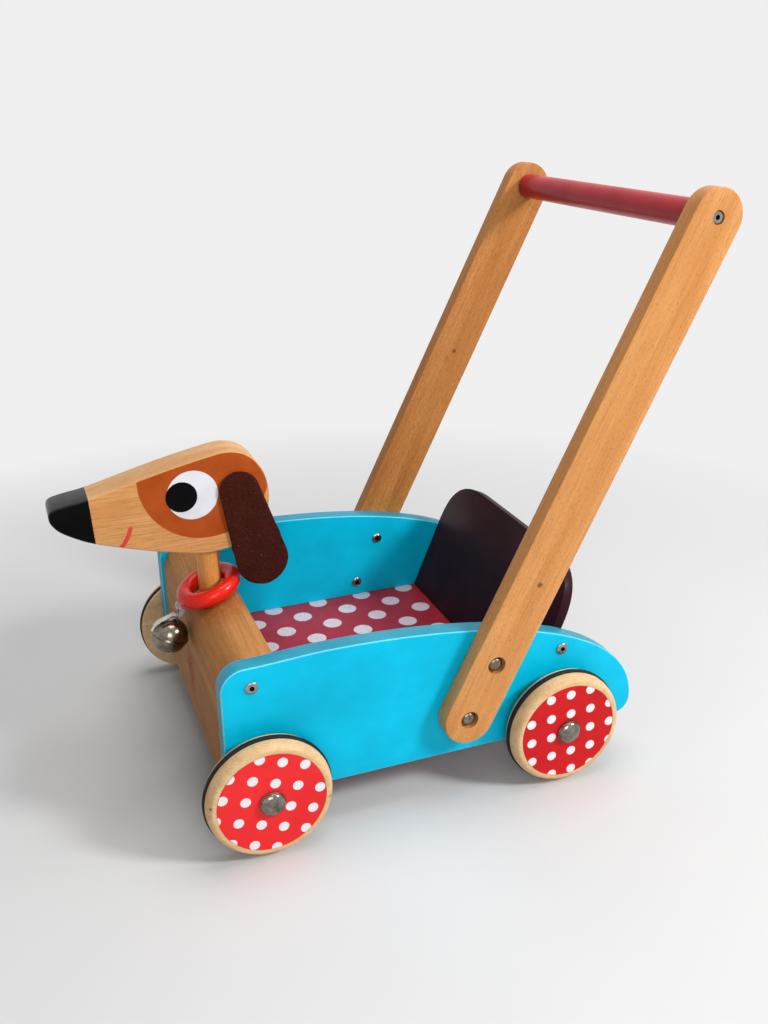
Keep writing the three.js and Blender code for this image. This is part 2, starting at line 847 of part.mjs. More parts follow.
// The cotton cord: from its tail on the bell through the eye, under the ring, round the neck on
// the block's top, and back to the eye beside its first strand
function onBell(turn, radius, side) {
  const angle = THREE.MathUtils.degToRad(turn);
  const [x, z] = [bellX + radius * Math.sin(angle), bellZ + radius * Math.cos(angle)];
  return new THREE.Vector3(x, side - bellSide, z);
}

// A point on the cord just outside the eye, in line with the eye's hole
function outsideEye(side) {
  const point = onBell(bellTilt, eyeRise, side);
  point.x -= cordEnd * Math.cos(bellAngle);
  point.z += cordEnd * Math.sin(bellAngle);
  return point;
}

function cordRunPoints(side) {
  const eye = onBell(bellTilt, eyeRise, 0);
  const middle = [eye, ...cordRun.map(([x, y, z]) => new THREE.Vector3(neckX + x, y, blockTop + z))];
  return middle.map((point, i) => {
    if (i === 0) return point.clone().setY(side - bellSide);
    const heading = middle[Math.min(i + 1, middle.length - 1)].clone().sub(middle[i - 1]);
    return new THREE.Vector3(-heading.y, heading.x, 0).setLength(side).add(point);
  });
}

// The cord's height where it lies on the block's rounded top
function cordRestHeight(x) {
  const clear = cordRadius + 2 * seatGap;
  const out = Math.max(blockRadius - blockFront - x, 0);
  return blockTop - blockRadius + Math.sqrt((blockRadius + clear) ** 2 - out ** 2);
}

function cordLoopPoints() {
  const radius = neckRadius + cordRadius + 3 * seatGap;
  const points = [];
  for (let turn = cordLoopTurns.start; turn <= cordLoopTurns.end; turn += cordLoopTurns.step) {
    const angle = THREE.MathUtils.degToRad(turn);
    const x = neckX - radius * Math.cos(angle);
    points.push(new THREE.Vector3(x, -radius * Math.sin(angle), cordRestHeight(x)));
  }
  return points;
}

// A stretch of the cord's route, between two shares of its length
class Stretch extends THREE.Curve {
  constructor(route, from, to) {
    super();
    Object.assign(this, { route, from, to });
  }

  getPoint(share) {
    return this.route.getPointAt(this.from + share * (this.to - this.from));
  }
}

function addCordStretch(name, steps, stretch) {
  const section = new THREE.Shape();
  section.absarc(0, 0, cordRadius, 0, 2 * Math.PI, false);
  const settings = { steps, extrudePath: stretch, curveSegments: 4 };
  addPiece(name, new THREE.ExtrudeGeometry(section, settings), "cotton");
}

// The share of a route's length that lies before one of its points
function shareBefore(route, index) {
  const samples = 100;
  const lengths = route.getLengths(samples * (route.points.length - 1));
  return lengths[samples * index] / lengths[lengths.length - 1];
}

function addBellCord() {
  const strand = cordRadius + seatGap;
  const lay = bellRadius + cordRadius + 2 * seatGap;
  const tail = [1, 0.6, 0.2].map((share) => onBell(-share * cordTailTurn, lay, -strand));
  const turnIn = new THREE.Vector3(neckX + cordTurnIn[0], cordTurnIn[1], blockTop + cordTurnIn[2]);
  const points = [
    ...tail, outsideEye(-strand), ...cordRunPoints(-strand), ...cordLoopPoints(), turnIn,
    ...cordRunPoints(strand).reverse(), outsideEye(strand),
  ];
  const route = new THREE.CatmullRomCurve3(points, false, "centripetal");
  const hanging = 2;
  const half = seatGap / 2 / route.getLength();
  const start = shareBefore(route, tail.length + 1 + hanging);
  const end = shareBefore(route, points.length - 2 - hanging);
  addCordStretch("cord_long_strand", 18, new Stretch(route, 0, start - half));
  addCordStretch("cord_neck_loop", 36, new Stretch(route, start + half, end - half));
  addCordStretch("cord_short_strand", 8, new Stretch(route, end + half, 1));
}

addSidePanels();
addFloor();
addFrontBlock();
addRearBoard();
addWheels();
addHandles();
addGrip();
addHandleBolts();
addGripScrews();
addPanelScrews();
addHead();
addEars();
addCollarRing();
addBell();
addBellCord();

// The cart was drawn with x = 0 at the front axle: it is moved so that the origin is under
// the middle of its length
const middleX = (headNose + gripX + handleHalf) / 2;
cart.position.x = -middleX;

export default cart;
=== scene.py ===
import math
import random

import bmesh
import bpy
from mathutils import Matrix, Vector


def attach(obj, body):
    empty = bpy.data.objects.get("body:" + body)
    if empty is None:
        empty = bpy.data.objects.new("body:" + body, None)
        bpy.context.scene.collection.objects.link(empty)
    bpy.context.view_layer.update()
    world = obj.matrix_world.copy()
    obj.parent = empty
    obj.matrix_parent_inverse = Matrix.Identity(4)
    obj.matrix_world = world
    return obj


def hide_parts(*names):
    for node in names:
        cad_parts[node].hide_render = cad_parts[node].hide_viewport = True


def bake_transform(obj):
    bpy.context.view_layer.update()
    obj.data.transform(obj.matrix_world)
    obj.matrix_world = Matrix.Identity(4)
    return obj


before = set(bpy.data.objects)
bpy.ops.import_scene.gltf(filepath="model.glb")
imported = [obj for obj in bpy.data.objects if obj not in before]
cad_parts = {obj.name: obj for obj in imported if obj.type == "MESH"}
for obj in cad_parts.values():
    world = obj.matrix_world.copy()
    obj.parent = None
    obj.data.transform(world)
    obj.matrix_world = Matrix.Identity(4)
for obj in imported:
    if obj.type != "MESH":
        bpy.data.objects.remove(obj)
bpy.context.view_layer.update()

# Sizes below are in millimetres, drawn with x = 0 at the front axle, as in the part's source.
MM = 0.001
MIDDLE = 119.03
GAP = 0.3


def at(x, y, z):
    return Vector(((x - MIDDLE) * MM, y * MM, z * MM))


# Camera, fitted to the photo's frame of 768 by 1024 pixels
LONG_SIDE_PX, FOCAL_PX = 1024, 1037.193
SHIFT_RIGHT_PX, SHIFT_UP_PX = -3.0, 1.67
YAW, PITCH, ROLL = (math.radians(a) for a in (20.92, 22.35, 0.46))
CAMERA_PLACE = (-138.024, -746.057, 517.375)
SENSOR_WIDTH = 36


def placed(name, data):
    """A new object of that data in the scene."""
    made = bpy.data.objects.new(name, data)
    bpy.context.scene.collection.objects.link(made)
    return made


def make_camera():
    forward = Vector((math.sin(YAW) * math.cos(PITCH), math.cos(YAW) * math.cos(PITCH), -math.sin(PITCH)))
    level = Vector((math.cos(YAW), -math.sin(YAW), 0))
    down = forward.cross(level)
    right = math.cos(ROLL) * level + math.sin(ROLL) * down
    low = math.cos(ROLL) * down - math.sin(ROLL) * level
    data = bpy.data.cameras.new("camera")
    data.sensor_width = SENSOR_WIDTH
    data.lens = FOCAL_PX * SENSOR_WIDTH / LONG_SIDE_PX
    data.shift_x = SHIFT_RIGHT_PX / LONG_SIDE_PX
    data.shift_y = SHIFT_UP_PX / LONG_SIDE_PX
    data.clip_start = 0.02
    data.clip_end = 50
    camera = placed("camera", data)
    turn = Matrix((right, -low, -forward)).transposed().to_4x4()
    camera.matrix_world = Matrix.Translation(at(*CAMERA_PLACE)) @ turn
    bpy.context.scene.camera = camera


make_camera()


# Sizes that several pieces share
SIDES = {"left": -1, "right": 1}
OVER = 4.0
AXLE_HEIGHT, WHEELBASE = 48.0, 240.0
AXLES = {"front": (0, AXLE_HEIGHT), "rear": (WHEELBASE, AXLE_HEIGHT)}
AXLE_R = 4.0
AXLE_HOLE = AXLE_R + GAP
PANEL_IN, PANEL_THICK, PANEL_NOSE, PANEL_BOTTOM = 114.0, 15.0, 27.0, 36.0
PANEL_OUT = PANEL_IN + PANEL_THICK
FLOOR_TOP, FLOOR_THICK, FLOOR_LIP, GROOVE_DEPTH = 59.0, 9.0, 1.9, 5.0
BLOCK_TOP, BLOCK_FRONT, BLOCK_REAR, BLOCK_ROUND = 145.5, 24.5, 15.5, 30.0
NECK_X, NECK_R, NECK_GRIP, NECK_FREE = -4.5, 9.0, 26.0, 40.1
HEAD_BOTTOM = BLOCK_TOP + NECK_FREE
BOARD_FOOT, BOARD_THICK, BOARD_LEAN = 218.4, 9.0, math.radians(22.5)
FLOOR_END = BOARD_FOOT + BOARD_THICK / math.cos(BOARD_LEAN) + FLOOR_LIP
HANDLE_LEAN, HANDLE_SPAN, HANDLE_THICK, HANDLE_R = math.radians(26.34), 403, 14.0, 20.25
HANDLE_FOOT = (158.5, 72.0)
HANDLE_IN = PANEL_OUT + GAP
HANDLE_OUT = HANDLE_IN + HANDLE_THICK
BOLT_SPACING = 48.0


def up_handle(rise):
    return HANDLE_FOOT[0] + rise * math.sin(HANDLE_LEAN), HANDLE_FOOT[1] + rise * math.cos(HANDLE_LEAN)


GRIP = up_handle(HANDLE_SPAN)
BOLTS = {"lower": up_handle(0), "upper": up_handle(BOLT_SPACING)}


# Shader nodes
def hex_colour(code):
    parts = [int(code[i:i + 2], 16) / 255 for i in (0, 2, 4)]
    return tuple(p / 12.92 if p <= 0.04045 else ((p + 0.055) / 1.055) ** 2.4 for p in parts) + (1.0,)


class Nodes:
    """Builds a node tree. A value is a socket, a number, a list of numbers or a colour's hex code."""

    def __init__(self, tree):
        self.tree = tree
        self.tree.nodes.clear()

    def feed(self, socket, value):
        if isinstance(value, bpy.types.NodeSocket):
            self.tree.links.new(value, socket)
        else:
            socket.default_value = hex_colour(value) if isinstance(value, str) else value

    def node(self, kind, output, inputs, **settings):
        """Adds a node, feeds its inputs and returns one of its outputs."""
        made = self.tree.nodes.new("ShaderNode" + kind)
        for name, value in settings.items():
            setattr(made, name, value)
        for name, value in inputs.items():
            self.feed(made.inputs[name], value)
        return made.outputs[output]

    def math(self, operation, a, b=0.0, clamp=False):
        return self.node("Math", 0, {0: a, 1: b}, operation=operation, use_clamp=clamp)

    def plus(self, a, b):
        return self.math("ADD", a, b)

    def minus(self, a, b):
        return self.math("SUBTRACT", a, b)

    def times(self, a, b):
        return self.math("MULTIPLY", a, b)

    def off_whole(self, value):
        """How far a value lies from the nearest whole number."""
        return self.minus(value, self.math("ROUND", value))

    def vector(self, operation, a, b=(0, 0, 0), c=(0, 0, 0)):
        output = "Value" if operation in ("LENGTH", "DISTANCE", "DOT_PRODUCT") else "Vector"
        return self.node("VectorMath", output, {0: a, 1: b, 2: c}, operation=operation)

    def along(self, v, x=0.0, y=0.0, z=0.0):
        """The sum of a vector's three parts, each times its own factor."""
        return self.vector("DOT_PRODUCT", v, (x, y, z))

    def only(self, v, x=0.0, y=0.0, z=0.0):
        """Keeps some of a vector's parts: 1 keeps one, 0 drops it."""
        return self.vector("MULTIPLY", v, (x, y, z))

    def mapped(self, v, turn=(0, 0, 0), stretch=(1, 1, 1), shift=(0, 0, 0)):
        inputs = {"Vector": v, "Rotation": turn, "Scale": stretch, "Location": shift}
        return self.node("Mapping", 0, inputs)

    def noise(self, v, scale=1.0, detail=2.0, rough=0.5, distort=0.0):
        inputs = {"Vector": v, "Scale": scale, "Detail": detail, "Roughness": rough, "Distortion": distort}
        return self.node("TexNoise", 0, inputs)

    def step(self, value, low, high, to_low=0.0, to_high=1.0):
        inputs = {"From Min": low, "From Max": high, "To Min": to_low, "To Max": to_high}
        return self.node("MapRange", 0, {"Value": value, **inputs})

    def mix(self, share, a, b):
        return self.node("Mix", 2, {0: share, 6: a, 7: b}, data_type="RGBA")

    def layer(self, base, tint, value, low, high, share=1.0):
        """Lays a share of tint over base, where value climbs from low to high."""
        return self.mix(self.step(value, low, high, 0.0, share), base, tint)

    def bump(self, height, distance_mm, strength):
        inputs = {"Height": height, "Distance": distance_mm * MM, "Strength": strength}
        return self.node("Bump", 0, inputs)

    def near(self, distance, radius, soft=0.15):
        """1 within radius, 0 outside."""
        return self.step(distance, radius + soft, radius - soft)

    def spot(self, across, up, radius, soft):
        """1 inside a round dot whose middle is where across and up are 0."""
        square = self.plus(self.times(across, across), self.times(up, up))
        return self.near(self.math("SQRT", square), radius, soft)

    def to_segment(self, v, a, b):
        """Distance from v to the straight stroke from a to b."""
        run = Vector(b) - Vector(a)
        start = self.vector("SUBTRACT", v, a)
        share = self.along(start, *(run / run.length_squared))
        share = self.math("MAXIMUM", self.math("MINIMUM", share, 1.0), 0.0)
        foot = self.node("VectorMath", "Vector", {0: tuple(run), "Scale": share}, operation="SCALE")
        return self.vector("DISTANCE", start, foot)

    def background_rays(self):
        """1 for the rays that show the plain background: the camera's, reflected and clear ones."""
        path = self.tree.nodes.new("ShaderNodeLightPath").outputs
        rays = self.plus(path["Is Camera Ray"], path["Is Glossy Ray"])
        return self.math("ADD", rays, path["Is Transmission Ray"], clamp=True)


class Material(Nodes):
    """A procedural material whose coordinates are the cart's own millimetres."""

    def __init__(self, name):
        self.material = bpy.data.materials.new(name)
        self.material.use_nodes = True
        super().__init__(self.material.node_tree)
        self.surface = self.tree.nodes.new("ShaderNodeBsdfPrincipled")
        self.out = self.tree.nodes.new("ShaderNodeOutputMaterial").inputs[0]
        self.feed(self.out, self.surface.outputs[0])
        coords = self.node("TexCoord", "Object", {})
        self.mm = self.vector("MULTIPLY_ADD", coords, (1 / MM,) * 3, (MIDDLE, 0, 0))

    def cloud(self, scale, detail, rough=0.5):
        """Plain noise in the cart's millimetres."""
        return self.noise(self.mm, scale, detail, rough)

    def set(self, **values):
        for name, value in values.items():
            self.feed(self.surface.inputs[name.replace("_", " ")], value)
        return self.material


# Wood and paint
ALONG_X = (0, 0, 0)
ALONG_Y = (0, 0, math.radians(-90))
ALONG_Z = (0, math.radians(90), 0)
ALONG_HANDLE = (0, math.radians(90) - HANDLE_LEAN, 0)
BARE = "a79c8f"
CHIPPED_X, CHIPPED_Y = (-20.0, -26.2), (-100.0, -110.0)


def wood_layers(s, tones, grain, fleck_amount=0.5, line_share=0.3):
    """Beech: broad tone, fine streaks, long lines and short dark flecks along the grain."""
    light, dark, fleck = tones
    v = s.mapped(s.mm, turn=grain)

    def fibres(long, thin, shift=(0, 0, 0), **looks):
        return s.noise(s.mapped(v, stretch=(long, thin, thin), shift=shift), **looks)

    tone = fibres(0.006, 0.06, detail=3, rough=0.55, distort=0.5)
    streaks = fibres(0.045, 1.1, detail=5, rough=0.7)
    dashes = s.step(fibres(0.3, 2.1, detail=1.0), 0.585, 0.66)
    pores = s.step(fibres(0.75, 3.6, (9, 4, 2), detail=1.0), 0.61, 0.68)
    colour = s.layer(light, dark, tone, 0.34, 0.66)
    colour = s.layer(colour, dark, fibres(0.012, 0.28, detail=3, rough=0.6), 0.45, 0.75, 0.5)
    colour = s.layer(colour, dark, streaks, 0.4, 0.75, 0.55)
    lines = fibres(0.026, 1.0, (3, 8, 5), detail=3, rough=0.65)
    colour = s.layer(colour, fleck, lines, 0.48, 0.66, line_share)
    colour = s.mix(s.times(dashes, fleck_amount), colour, fleck)
    colour = s.mix(s.times(pores, fleck_amount * 0.8), colour, fleck)
    return colour, s.minus(s.times(streaks, 0.6), s.times(dashes, 0.5)), streaks


def grimy(s, colour, height, dirt):
    """Lays grime, specks and scuffs over bare wood."""
    grime = s.cloud(0.16, 5, 0.7)
    colour = s.layer(colour, "a08763", grime, 0.5, 0.72, dirt)
    specks = s.step(s.cloud(0.75, 2, 0.6), 0.7, 0.74)
    colour = s.mix(s.times(specks, min(1.0, 1.6 * dirt)), colour, "33281c")
    scuffs = s.noise(s.mapped(s.mm, turn=(0.5, 0.2, 0.9), stretch=(0.12, 2, 2)), detail=2)
    scuffs = s.step(scuffs, 0.66, 0.74)
    colour = s.mix(s.times(scuffs, dirt), colour, "5f5340")
    return colour, s.minus(height, s.plus(specks, scuffs))


def wood(
    name, tones, grain, knots=(), tint_patches=(), fleck_amount=0.5, gloss=0.42, dirt=0.0, shine=0.3, line_share=0.3
):
    s = Material(name)
    colour, height, streaks = wood_layers(s, tones, grain, fleck_amount, line_share)
    for place, size in knots:
        away = s.plus(s.vector("DISTANCE", s.mm, place), s.times(s.cloud(0.5, 2), size))
        colour = s.layer(colour, "5a3014", away, size * 1.9, size * 0.9, 0.85)
    for place, stretch, tint, share in tint_patches:
        away = s.vector("LENGTH", s.vector("MULTIPLY", s.vector("SUBTRACT", s.mm, place), stretch))
        patch = s.times(s.step(away, 1.0, 0.2), s.step(s.cloud(0.35, 3), 0.3, 0.55))
        colour = s.mix(s.times(patch, share), colour, tint)
    if dirt:
        colour, height = grimy(s, colour, height, dirt)
    rough = s.step(streaks, 0.3, 0.8, gloss - 0.06, gloss + 0.14)
    normal = s.bump(height, 0.12, 0.6)
    return s.set(Base_Color=colour, Roughness=rough, Normal=normal, Specular_IOR_Level=shine)


def front_end(s):
    """1 at the left panel's front end, where the paint is knocked off, falling to 0 a few mm behind it."""
    return s.times(s.step(s.along(s.mm, x=1), *CHIPPED_X), s.step(s.along(s.mm, y=1), *CHIPPED_Y))


def painted(name, colour, shade, gloss=0.36, grain=ALONG_X, dots=None, wear=None, coat=0.0, shine=0.3):
    """Paint on wood: cloudy tone, faint grain under it, fine orange peel, scratches and, at edges, chips."""
    s = Material(name)
    cloud = s.cloud(0.018, 4, 0.6)
    fine = s.cloud(0.9, 3)
    under = s.noise(s.mapped(s.mapped(s.mm, turn=grain), stretch=(0.02, 0.5, 0.5)), detail=4, rough=0.6)
    base = s.layer(colour, shade, cloud, 0.35, 0.7)
    base = s.layer(base, shade, under, 0.5, 0.8, 0.16)
    if dots:
        base = dots(s, base)
    scratch = s.noise(s.mapped(s.mm, turn=(0.4, 0.7, 0.3), stretch=(0.05, 3.5, 3.5)), detail=2)
    scratch = s.times(s.step(scratch, 0.7, 0.76), s.step(cloud, 0.45, 0.6))
    height = s.minus(s.plus(s.times(fine, 0.25), s.times(under, 0.5)), s.times(scratch, 0.4))
    rough = s.plus(s.step(cloud, 0.3, 0.75, gloss - 0.05, gloss + 0.08), s.times(scratch, 0.2))
    if wear:
        chips = s.cloud(0.45, 4, 0.65)
        chips = s.step(s.times(chips, front_end(s)), *wear)
        base = s.mix(chips, base, BARE)
        rough = s.plus(rough, s.times(chips, 0.25))
        height = s.minus(height, chips)
    return s.set(
        Base_Color=base, Roughness=rough, Normal=s.bump(height, 0.09, 0.45),
        Specular_IOR_Level=shine, Coat_Weight=coat, Coat_Roughness=0.16,
    )


# Printed dots
FLOOR_DOT_R, FLOOR_DOT_X, SPACE_ALONG, SPACE_ACROSS = 8.5, 51.4, 22.05, 22.0
DISC_DOT_R = 3.85


def floor_dots(s, base):
    """Round dots on the board's top, on a square lattice that stands on its corner."""
    v = s.vector("SUBTRACT", s.mm, (FLOOR_DOT_X, 0, 0))
    first = s.off_whole(s.along(v, x=0.5 / SPACE_ALONG, y=0.5 / SPACE_ACROSS))
    second = s.off_whole(s.along(v, x=0.5 / SPACE_ALONG, y=-0.5 / SPACE_ACROSS))
    across = s.times(s.plus(first, second), SPACE_ALONG)
    dot = s.spot(across, s.times(s.minus(first, second), SPACE_ACROSS), FLOOR_DOT_R, 0.2)
    on_top = s.step(s.along(s.mm, z=1), FLOOR_TOP - 0.6, FLOOR_TOP - 0.3)
    pale = s.layer("dccfd6", "c8bac4", s.cloud(0.6, 3), 0.4, 0.7)
    return s.mix(s.times(dot, on_top), base, pale)


def disc_dots(axle, spacing, degrees, phase_along, phase_up):
    """White dots on a square lattice, turned as on that wheel."""
    c, n = (f(math.radians(degrees)) / spacing for f in (math.cos, math.sin))

    def draw(s, base):
        v = s.vector("SUBTRACT", s.mm, (axle[0], 0, axle[1]))
        first = s.off_whole(s.minus(s.along(v, x=c, z=n), phase_along))
        second = s.off_whole(s.minus(s.along(v, x=-n, z=c), phase_up))
        dot = s.spot(s.times(first, spacing), s.times(second, spacing), DISC_DOT_R, 0.16)
        return s.mix(dot, base, "e8e4e8")

    return draw


# Metal, felt, cotton, rubber and nylon
def metal(name, colour, shade, rough=0.2, scratch_amount=0.5):
    s = Material(name)
    cloud = s.cloud(0.2, 4)
    fine = s.noise(s.mapped(s.mm, stretch=(0.4, 3.0, 0.4)), scale=2.0, detail=3)
    return s.set(
        Base_Color=s.layer(colour, shade, cloud, 0.35, 0.7),
        Metallic=1.0,
        Roughness=s.plus(s.step(cloud, 0.3, 0.75, rough * 0.7, rough * 1.5), s.times(fine, 0.06)),
        Normal=s.bump(fine, 0.02, scratch_amount),
    )


def cloth(name, colour, shade, lint, scale=1.0, sheen=0.06):
    s = Material(name)
    fibre = s.noise(s.mm, scale=scale, detail=6, rough=0.78, distort=1.2)
    threads = s.noise(s.mapped(s.mm, turn=(0.3, 0.5, 0.8), stretch=(0.35, 2.4, 2.4)), scale=scale, detail=3)
    base = s.layer(shade, colour, fibre, 0.34, 0.68)
    base = s.layer(base, shade, s.cloud(0.07, 3), 0.4, 0.75, 0.35)
    base = s.layer(base, shade, s.cloud(scale * 0.4, 4, 0.7), 0.5, 0.72, 0.75)
    base = s.layer(base, lint, threads, 0.68, 0.8, 0.3)
    base = s.layer(base, lint, s.cloud(scale * 0.9, 1), 0.74, 0.8, 0.7)
    return s.set(
        Base_Color=base, Roughness=0.95, Normal=s.bump(s.plus(fibre, s.times(threads, 0.6)), 0.9, 0.9),
        Specular_IOR_Level=0.1, Sheen_Weight=sheen, Sheen_Roughness=0.6,
    )


def rubber(name):
    s = Material(name)
    cloud = s.cloud(0.08, 4)
    base = s.layer("0c0c0e", "1b1a1b", cloud, 0.35, 0.7)
    base = s.layer(base, "57524b", s.cloud(0.6, 4, 0.7), 0.55, 0.8, 0.3)
    return s.set(
        Base_Color=base, Roughness=s.step(cloud, 0.3, 0.7, 0.55, 0.72),
        Normal=s.bump(s.cloud(2.0, 3), 0.1, 0.5), Specular_IOR_Level=0.25,
    )


def nylon(name):
    s = Material(name)
    base = s.layer("e2e0d8", "cfccc2", s.cloud(0.2, 3), 0.35, 0.7)
    fine = s.cloud(2.5, 2)
    rough = s.step(fine, 0.3, 0.7, 0.42, 0.55)
    return s.set(Base_Color=base, Roughness=rough, Normal=s.bump(fine, 0.05, 0.4))


# The head's paint
HEAD_TONES = ("dda468", "cb8a4b", "a8642f")
HEAD_EDGE_TONES = ("d9ab76", "c8925a", "a8642f")
NOSE_START, NOSE_SLOPE = 78.6, 0.0483
# Each disc is x, z and radius
PATCH, EYE_WHITE, PUPIL = (-5, 249, 50.2), (-14.9, 234.8, 19.4), (-23.35, 234.3, 12.0)
MOUTH = [(-62.9, 0, 215.0), (-65.3, 0, 208.9), (-68.8, 0, 203.2), (-71.6, 0, 200.8)]
MOUTH_HALF_WIDTH = 1.6


def wobble(s, scale, size):
    """A small shift that keeps a painted edge from being perfectly even."""
    return s.times(s.minus(s.cloud(scale, 3), 0.5), size)


def nose_mask(s):
    """1 ahead of the straight line where the black paint starts."""
    ahead = s.plus(s.along(s.mm, x=-1.0, z=-NOSE_SLOPE), wobble(s, 0.8, 0.5))
    return s.step(ahead, NOSE_START, NOSE_START + 0.4)


def head_edge(name):
    s = Material(name)
    colour, height, lines = wood_layers(s, HEAD_EDGE_TONES, ALONG_X, 0.2, 0.4)
    nose = nose_mask(s)
    rough = s.times(s.step(lines, 0.3, 0.8, 0.36, 0.5), s.minus(1.0, s.times(nose, 0.25)))
    return s.set(
        Base_Color=s.mix(nose, colour, "0d0d0d"), Roughness=rough, Normal=s.bump(height, 0.12, 0.6),
        Specular_IOR_Level=0.22,
    )


def head_side(name):
    """Varnished beech with the dog's painted nose, patch, eye and mouth."""
    s = Material(name)
    colour, height, lines = wood_layers(s, HEAD_TONES, ALONG_X, 0.2, 0.6)
    flat = s.only(s.mm, x=1, z=1)
    uneven = wobble(s, 0.7, 0.45)
    cloud = s.cloud(0.06, 4)

    def disc(x, z, radius):
        return s.near(s.plus(s.vector("DISTANCE", flat, (x, 0, z)), uneven), radius)

    rust = s.layer("b2501f", "9f4515", cloud, 0.35, 0.7)
    rust = s.layer(rust, "a04a1c", s.noise(s.mapped(s.mm, stretch=(0.08, 1, 0.8)), detail=4), 0.55, 0.8, 0.2)
    black = s.layer("030304", "08080a", cloud, 0.4, 0.7)
    patch = disc(*PATCH)
    colour = s.mix(patch, colour, rust)
    colour = s.mix(disc(*EYE_WHITE), colour, s.layer("e2e2e8", "d6d6dd", cloud, 0.4, 0.75))
    colour = s.mix(disc(*PUPIL), colour, black)
    strokes = [s.to_segment(flat, a, b) for a, b in zip(MOUTH, MOUTH[1:])]
    stroke = strokes[0]
    for other in strokes[1:]:
        stroke = s.math("MINIMUM", stroke, other)
    mouth = s.near(s.plus(stroke, uneven), MOUTH_HALF_WIDTH, 0.2)
    colour = s.mix(mouth, colour, "d8453c")
    nose = nose_mask(s)
    colour = s.mix(nose, colour, black)
    paint = s.math("MAXIMUM", s.math("MAXIMUM", patch, nose), mouth)
    height = s.times(height, s.minus(1.0, s.times(paint, 0.7)))
    return s.set(
        Base_Color=colour,
        Roughness=s.minus(s.step(lines, 0.3, 0.8, 0.4, 0.54), s.times(paint, 0.06)),
        Normal=s.bump(s.plus(height, s.times(paint, 0.5)), 0.12, 0.6),
        Specular_IOR_Level=s.minus(0.2, s.times(paint, 0.14)),
    )


# Materials
# A wood's tones are its light one, its dark one and its flecks
BEECH = ("dc9f5f", "c98646", "965827")
SHADED_BEECH = ("c98c50", "b5763b", "84491f")
# The right handle's beech, darker all over than the left handle's: painted shade.
PALE_BEECH = ("eccb9e", "dcb482", "a87a45")
NECK_BEECH = ("efae62", "dc9246", "a25f28")
BLOCK_BEECH = ("c68c54", "ab733f", "774621")
# A knot is a place and a size, a tint patch a place, a stretch, a tint and a share
LEFT_KNOTS, RIGHT_KNOTS = [((213.0, -143.3, 176.4), 2.0)], [((265.5, 129.3, 287.1), 2.0)]
WHEEL_DENTS = [((-43.7, -152.0, 54.2), 1.3), ((42.8, -152.0, 41.9), 1.3)]
RED_SCUFF = ((-24.5, 6, 74), (0.1, 0.055, 0.034), "a01e16", 1.0)
# A deeper orange patch on the block's top, just under the ring.
BLOCK_ORANGE_UNDER_RING = ((-6, -22, 145), (0.03, 0.026, 0.05), "9a4f12", 0.7)
FRONT_DOTS = disc_dots(AXLES["front"], 17.35, 70.0, -0.0854, 0.1504)
REAR_DOTS = disc_dots(AXLES["rear"], 17.3, 3.5, 0.1278, -0.0967)

MATERIALS = {
    "blue": painted("blue_paint", "02c1e6", "01add1", 0.4, wear=(0.57, 0.61), shine=0.1),
    # A lighter, glossier blue on the panels' rounded edges: a painted highlight.
    "blue_highlight_rim": painted("blue_rim_paint", "5fd4ee", "45c2e2", 0.3, wear=(0.5, 0.54), shine=0.4),
    "blue_edge": painted("blue_edge_paint", "2a9ab4", "1f849e", 0.4, wear=(0.58, 0.62)),
    "floor": painted("floor_paint", "a82837", "94202e", 0.42, dots=floor_dots),
    "aubergine": painted("aubergine_paint", "30101b", "230a13", 0.42, ALONG_Y, shine=0.09),
    "grip": painted("grip_paint", "bd222f", "a01a28", 0.32, ALONG_Y, coat=0.1, shine=0.2),
    "ring": painted("ring_paint", "ea2412", "cf160e", 0.28, coat=0.12, shine=0.2),
    "disc_front": painted("front_disc_print", "ef2a2c", "e32428", 0.42, dots=FRONT_DOTS, shine=0.2),
    "disc_rear": painted("rear_disc_print", "cb151b", "bd1218", 0.42, dots=REAR_DOTS, shine=0.15),
    "handle_left": wood("handle_left_beech", BEECH, ALONG_HANDLE, LEFT_KNOTS),
    # Painted shade: the right handle takes the darker beech.
    "handle_right": wood("handle_right_beech", SHADED_BEECH, ALONG_HANDLE, RIGHT_KNOTS, shine=0.15),
    "block": wood(
        "block_beech", BLOCK_BEECH, ALONG_Y, tint_patches=[RED_SCUFF, BLOCK_ORANGE_UNDER_RING], fleck_amount=0.25, gloss=0.55,
        dirt=0.25, shine=0.12, line_share=0.4,
    ),
    "neck": wood("neck_beech", NECK_BEECH, ALONG_Z, gloss=0.34),
    "wheel": wood(
        "wheel_beech", PALE_BEECH, ALONG_X, WHEEL_DENTS, fleck_amount=0.3, gloss=0.5, dirt=0.45, shine=0.2,
        line_share=0.2,
    ),
    "head_side": head_side("head_side_paint"),
    "head_edge": head_edge("head_edge_beech"),
    "rubber": rubber("tread_rubber"),
    "chrome": metal("cap_chrome", "958e84", "625c54", 0.1),
    "bell": metal("bell_nickel", "91877a", "5c5349", 0.15, 0.8),
    "nut": metal("nut_zinc", "8f8678", "655d52", 0.26, 0.8),
    "steel": metal("screw_steel", "aca8a1", "7f7b74", 0.22),
    # Painted shade: dark steel laid inside the hex sockets.
    "recess": metal("screw_socket_shade", "3b3835", "211f1d", 0.5),
    "nylon": nylon("washer_nylon"),
    "felt": cloth("ear_felt", "602216", "1b0704", "a98a80", 0.95, 0.02),
    "cotton": cloth("cord_cotton", "fffdf6", "ece6da", "ffffff", 2.2, 0.8),
}


# Mesh helpers
def object_from(name, bm, angle=35):
    """Makes an object of a bmesh that is drawn in the cart's millimetres."""
    for v in bm.verts:
        v.co = at(*v.co)
    bmesh.ops.recalc_face_normals(bm, faces=bm.faces)
    mesh = bpy.data.meshes.new(name)
    bm.to_mesh(mesh)
    bm.free()
    soften(mesh, angle)
    return placed(name, mesh)


